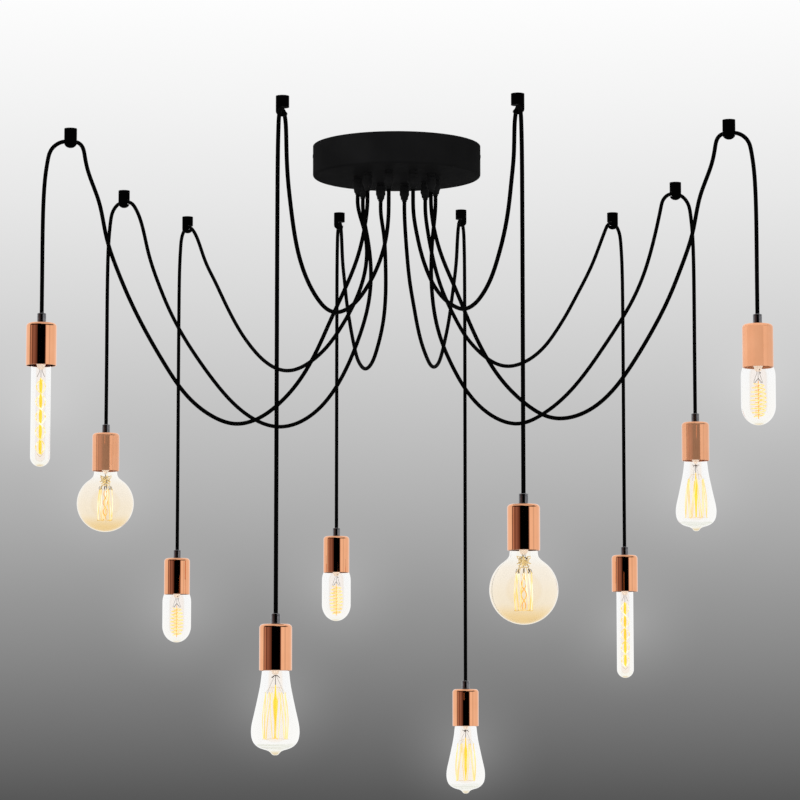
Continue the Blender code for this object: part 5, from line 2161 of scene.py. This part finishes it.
@dataclass(frozen=True)
class Studio:
    """A pale round studio: a floor, a wall that shades from white down to grey, soft light."""

    radius: float = 9.0
    floor: float = -8.2
    floor_hub: float = 0.5
    floor_light: float = 0.80
    floor_roughness: float = 0.9
    ramp_foot: float = -4.6
    top: float = 14.0
    flag_middle: float = 0.17
    flag_taper: float = 4.0
    ring_foot: float = 2.4
    ring_top: float = 9.0
    ring_light: float = 0.06
    shade_top: float = 2.55
    sides: int = 160
    fill: float = 0.80
    halo_reach: float = 0.40
    halo_light: float = 0.13
    behind_glass: float = 0.97
    light_size: float = 2.4
    light_power: float = 70.0
    light_place: Point = (-2.2, -3.0, 2.6)
    light_aim: Point = (0.0, 0.0, -0.5)

    # How light the wall is in the photograph's view, from ramp_foot up to shade_top
    SHADES = greys((0.000, 0.62), (0.200, 0.46), (0.330, 0.24), (0.430, 0.085), (0.450, 0.085),
                   (0.466, 0.10), (0.525, 0.195), (0.588, 0.309), (0.651, 0.440),
                   (0.715, 0.565), (0.779, 0.694), (0.843, 0.807), (0.908, 0.905),
                   (0.970, 0.982), (1.000, 1.0))
    # The dark flags and the softboxes that mirrors see, by their bearing from behind
    FLAGS = (
        (0.000, grey(0.95)), (0.006, (0.10, 0.06, 0.05)), (0.014, (0.14, 0.08, 0.07)),
        (0.030, (0.52, 0.38, 0.34)), (0.050, (0.60, 0.44, 0.40)), (0.064, (0.22, 0.13, 0.11)),
        (0.074, (0.16, 0.09, 0.08)), (0.100, (0.34, 0.22, 0.20)), (0.128, (0.26, 0.16, 0.15)),
        (0.176, (0.10, 0.05, 0.04)), (0.182, grey(0.0)), (0.340, grey(0.0)),
        (0.344, (0.18, 0.11, 0.10)), (0.355, (0.40, 0.30, 0.28)), (0.360, grey(1.0)),
        (0.425, grey(1.0)), (0.436, grey(0.78)), (0.455, grey(0.80)), (0.466, grey(1.0)),
        (0.560, grey(0.93)), (0.620, grey(1.0)), (1.000, grey(1.0)))
    # How much of the dark ring above the lamps shows, by its bearing
    RING_SIDES = greys((0.0, 0.9), (0.02, 1.0), (0.50, 1.0), (0.56, 0.0), (0.96, 0.0), (1.0, 0.9))
    # How softly the ring starts and ends, as shares of the wall's height
    RING_FADES = (0.04, 0.10)

    def build(self, lamps: Sequence[Vector]) -> None:
        """Make the floor, the wall with a painted halo of lamp light behind each lamp, the light and
        the world.

        Args:
            lamps: The lamps' middles.
        """
        self.build_floor()
        self.build_wall([self.behind(lamp) for lamp in lamps])
        self.build_light()
        self.build_world()

    def build_floor(self) -> None:
        """Make the plain pale floor that takes the object's shadow."""
        floor = Bench.turned("studio_floor", [(self.radius, self.floor),
                                              (self.floor_hub, self.floor)], self.sides, Ends.OPEN)
        Bench.fill_border(floor, lambda place: math.hypot(place.x, place.y) < 2 * self.floor_hub)
        recipe = Recipe("studio_floor_paint")
        recipe.set(Base_Color=grey(self.floor_light), Roughness=self.floor_roughness)
        floor.data.materials.append(recipe.material)

    def behind(self, lamp: Vector) -> Vector:
        """Find the place on the wall that a lamp covers in the photograph's view.

        Args:
            lamp: The lamp's middle.

        Returns:
            The place.
        """
        eye = Vector(PhotographCamera.location)
        along = (lamp - eye).normalized()
        flat = Vector((along.x, along.y, 0.0))
        start = Vector((eye.x, eye.y, 0.0))
        half = start.dot(flat) / flat.length_squared
        rest = (start.length_squared - self.radius ** 2) / flat.length_squared
        return eye + along * (math.sqrt(half * half - rest) - half)

    def lamp_halos(self, recipe: Recipe, shade: Socket, halos: Sequence[Vector]) -> Socket:
        """Paint a glow of lamp light on the wall round some places.

        Args:
            recipe: The wall's material.
            shade: The wall's shade without them.
            halos: The places.

        Returns:
            The brighter shade.
        """
        total: Socket | float = 0.0
        for halo in halos:
            apart = recipe.node("ShaderNodeVectorMath", operation="DISTANCE")
            recipe.link(recipe.object_space, apart.inputs[0])
            apart.inputs[1].default_value = halo
            near = recipe.levels(apart.outputs["Value"], 1.0, 0.0, 0.0, self.halo_reach)
            glow = recipe.calculate("MULTIPLY", recipe.calculate("MULTIPLY", near, near),
                                    self.halo_light)
            total = recipe.calculate("ADD", glow, total)
        return recipe.mix(1.0, shade, total, "SCREEN")

    def build_wall(self, halos: Sequence[Vector]) -> None:
        """Make the round wall. Mirrors see the studio's dark flags and softboxes on it.

        Args:
            halos: The places behind the lamps.
        """
        heights = [self.floor + (self.top - self.floor) * i / 4 for i in range(5)]
        wall = Bench.turned("studio_wall", [(self.radius, height) for height in heights],
                            self.sides, Ends.OPEN)
        recipe = Recipe("studio_wall_light")
        split = recipe.node("ShaderNodeSeparateXYZ")
        recipe.link(recipe.object_space, split.inputs["Vector"])
        up = split.outputs["Z"]
        height = recipe.levels(up, 0.0, 1.0, self.ramp_foot, self.shade_top)
        seen = self.lamp_halos(recipe, recipe.ramp(height, self.SHADES), halos)
        rays = recipe.node("ShaderNodeLightPath").outputs
        reflected = recipe.mix(rays["Is Glossy Ray"], seen, self.mirrored(recipe, up))
        through = recipe.mix(rays["Is Transmission Ray"], reflected, grey(self.behind_glass))
        light = recipe.node("ShaderNodeEmission")
        recipe.link(through, light.inputs["Color"])
        output = recipe.tree.nodes["Material Output"]
        recipe.link(light.outputs["Emission"], output.inputs["Surface"])
        wall.data.materials.append(recipe.material)
        wall.visible_diffuse = False
        wall.visible_shadow = False

    def mirrored(self, recipe: Recipe, up: Socket) -> Socket:
        """Shade the wall as mirrors see it: flags and softboxes, with a dark ring above them.

        Args:
            recipe: The wall's material.
            up: The height on the wall.

        Returns:
            The shade.
        """
        around = recipe.node("ShaderNodeTexGradient", gradient_type="RADIAL")
        recipe.link(recipe.object_space, around.inputs["Vector"])
        narrow = recipe.levels(up, 1.0, self.flag_taper, self.ring_top, self.top)
        aside = recipe.calculate("SUBTRACT", around.outputs["Fac"], self.flag_middle)
        bearing = recipe.calculate("ADD", recipe.calculate("MULTIPLY", aside, narrow),
                                   self.flag_middle)
        low, high = self.ring_foot / self.top, self.ring_top / self.top
        fade_in, fade_out = self.RING_FADES
        ring = recipe.ramp(recipe.levels(up, 0.0, 1.0, 0.0, self.top), greys(
            (low, 1.0), (low + fade_in, self.ring_light), (high - fade_out, self.ring_light),
            (high, 1.0)))
        front = recipe.ramp(around.outputs["Fac"], self.RING_SIDES)
        return recipe.mix(front, recipe.ramp(bearing, self.FLAGS), ring, "MULTIPLY")

    def build_light(self) -> None:
        """Hang one large soft light above the camera, to its left."""
        data = bpy.data.lights.new("softbox", "AREA")
        data.shape = "DISK"
        data.size = self.light_size
        data.energy = self.light_power
        light = bpy.data.objects.new("softbox", data)
        light.location = self.light_place
        aim = Vector(self.light_aim) - light.location
        light.rotation_euler = aim.to_track_quat("-Z", "Y").to_euler()
        light.visible_glossy = False
        light.visible_transmission = False
        bpy.context.scene.collection.objects.link(light)

    def build_world(self) -> None:
        """Fill the studio with even light from all sides."""
        world = bpy.data.worlds.new("studio_world")
        world.use_nodes = True
        background = world.node_tree.nodes["Background"]
        background.inputs["Color"].default_value = (*grey(1.0), 1.0)
        background.inputs["Strength"].default_value = self.fill
        bpy.context.scene.world = world
        bpy.context.scene.view_settings.view_transform = "Standard"


def main() -> None:
    """Dress the chandelier, from the camera and the cords to the lamps."""
    logging.basicConfig(level=logging.INFO, format="%(name)s: %(message)s")
    PhotographCamera().build()
    seats = {swag.label: Seat.of(swag.label) for swag in SWAGS}
    canopy = Canopy()
    for swag in SWAGS:
        Cord(swag, seats[swag.label], canopy.grip_mouth(swag.grip)).build()
    canopy.build()
    CeilingHook().build(seats)
    Lampholder().build(seats)
    lamps = Lamp()
    for swag in SWAGS:
        lamps.build(swag, seats[swag.label])
    lamps.discard_models()
    Studio().build([lamps.middle(swag) for swag in SWAGS])


if __name__ == "__main__":
    main()
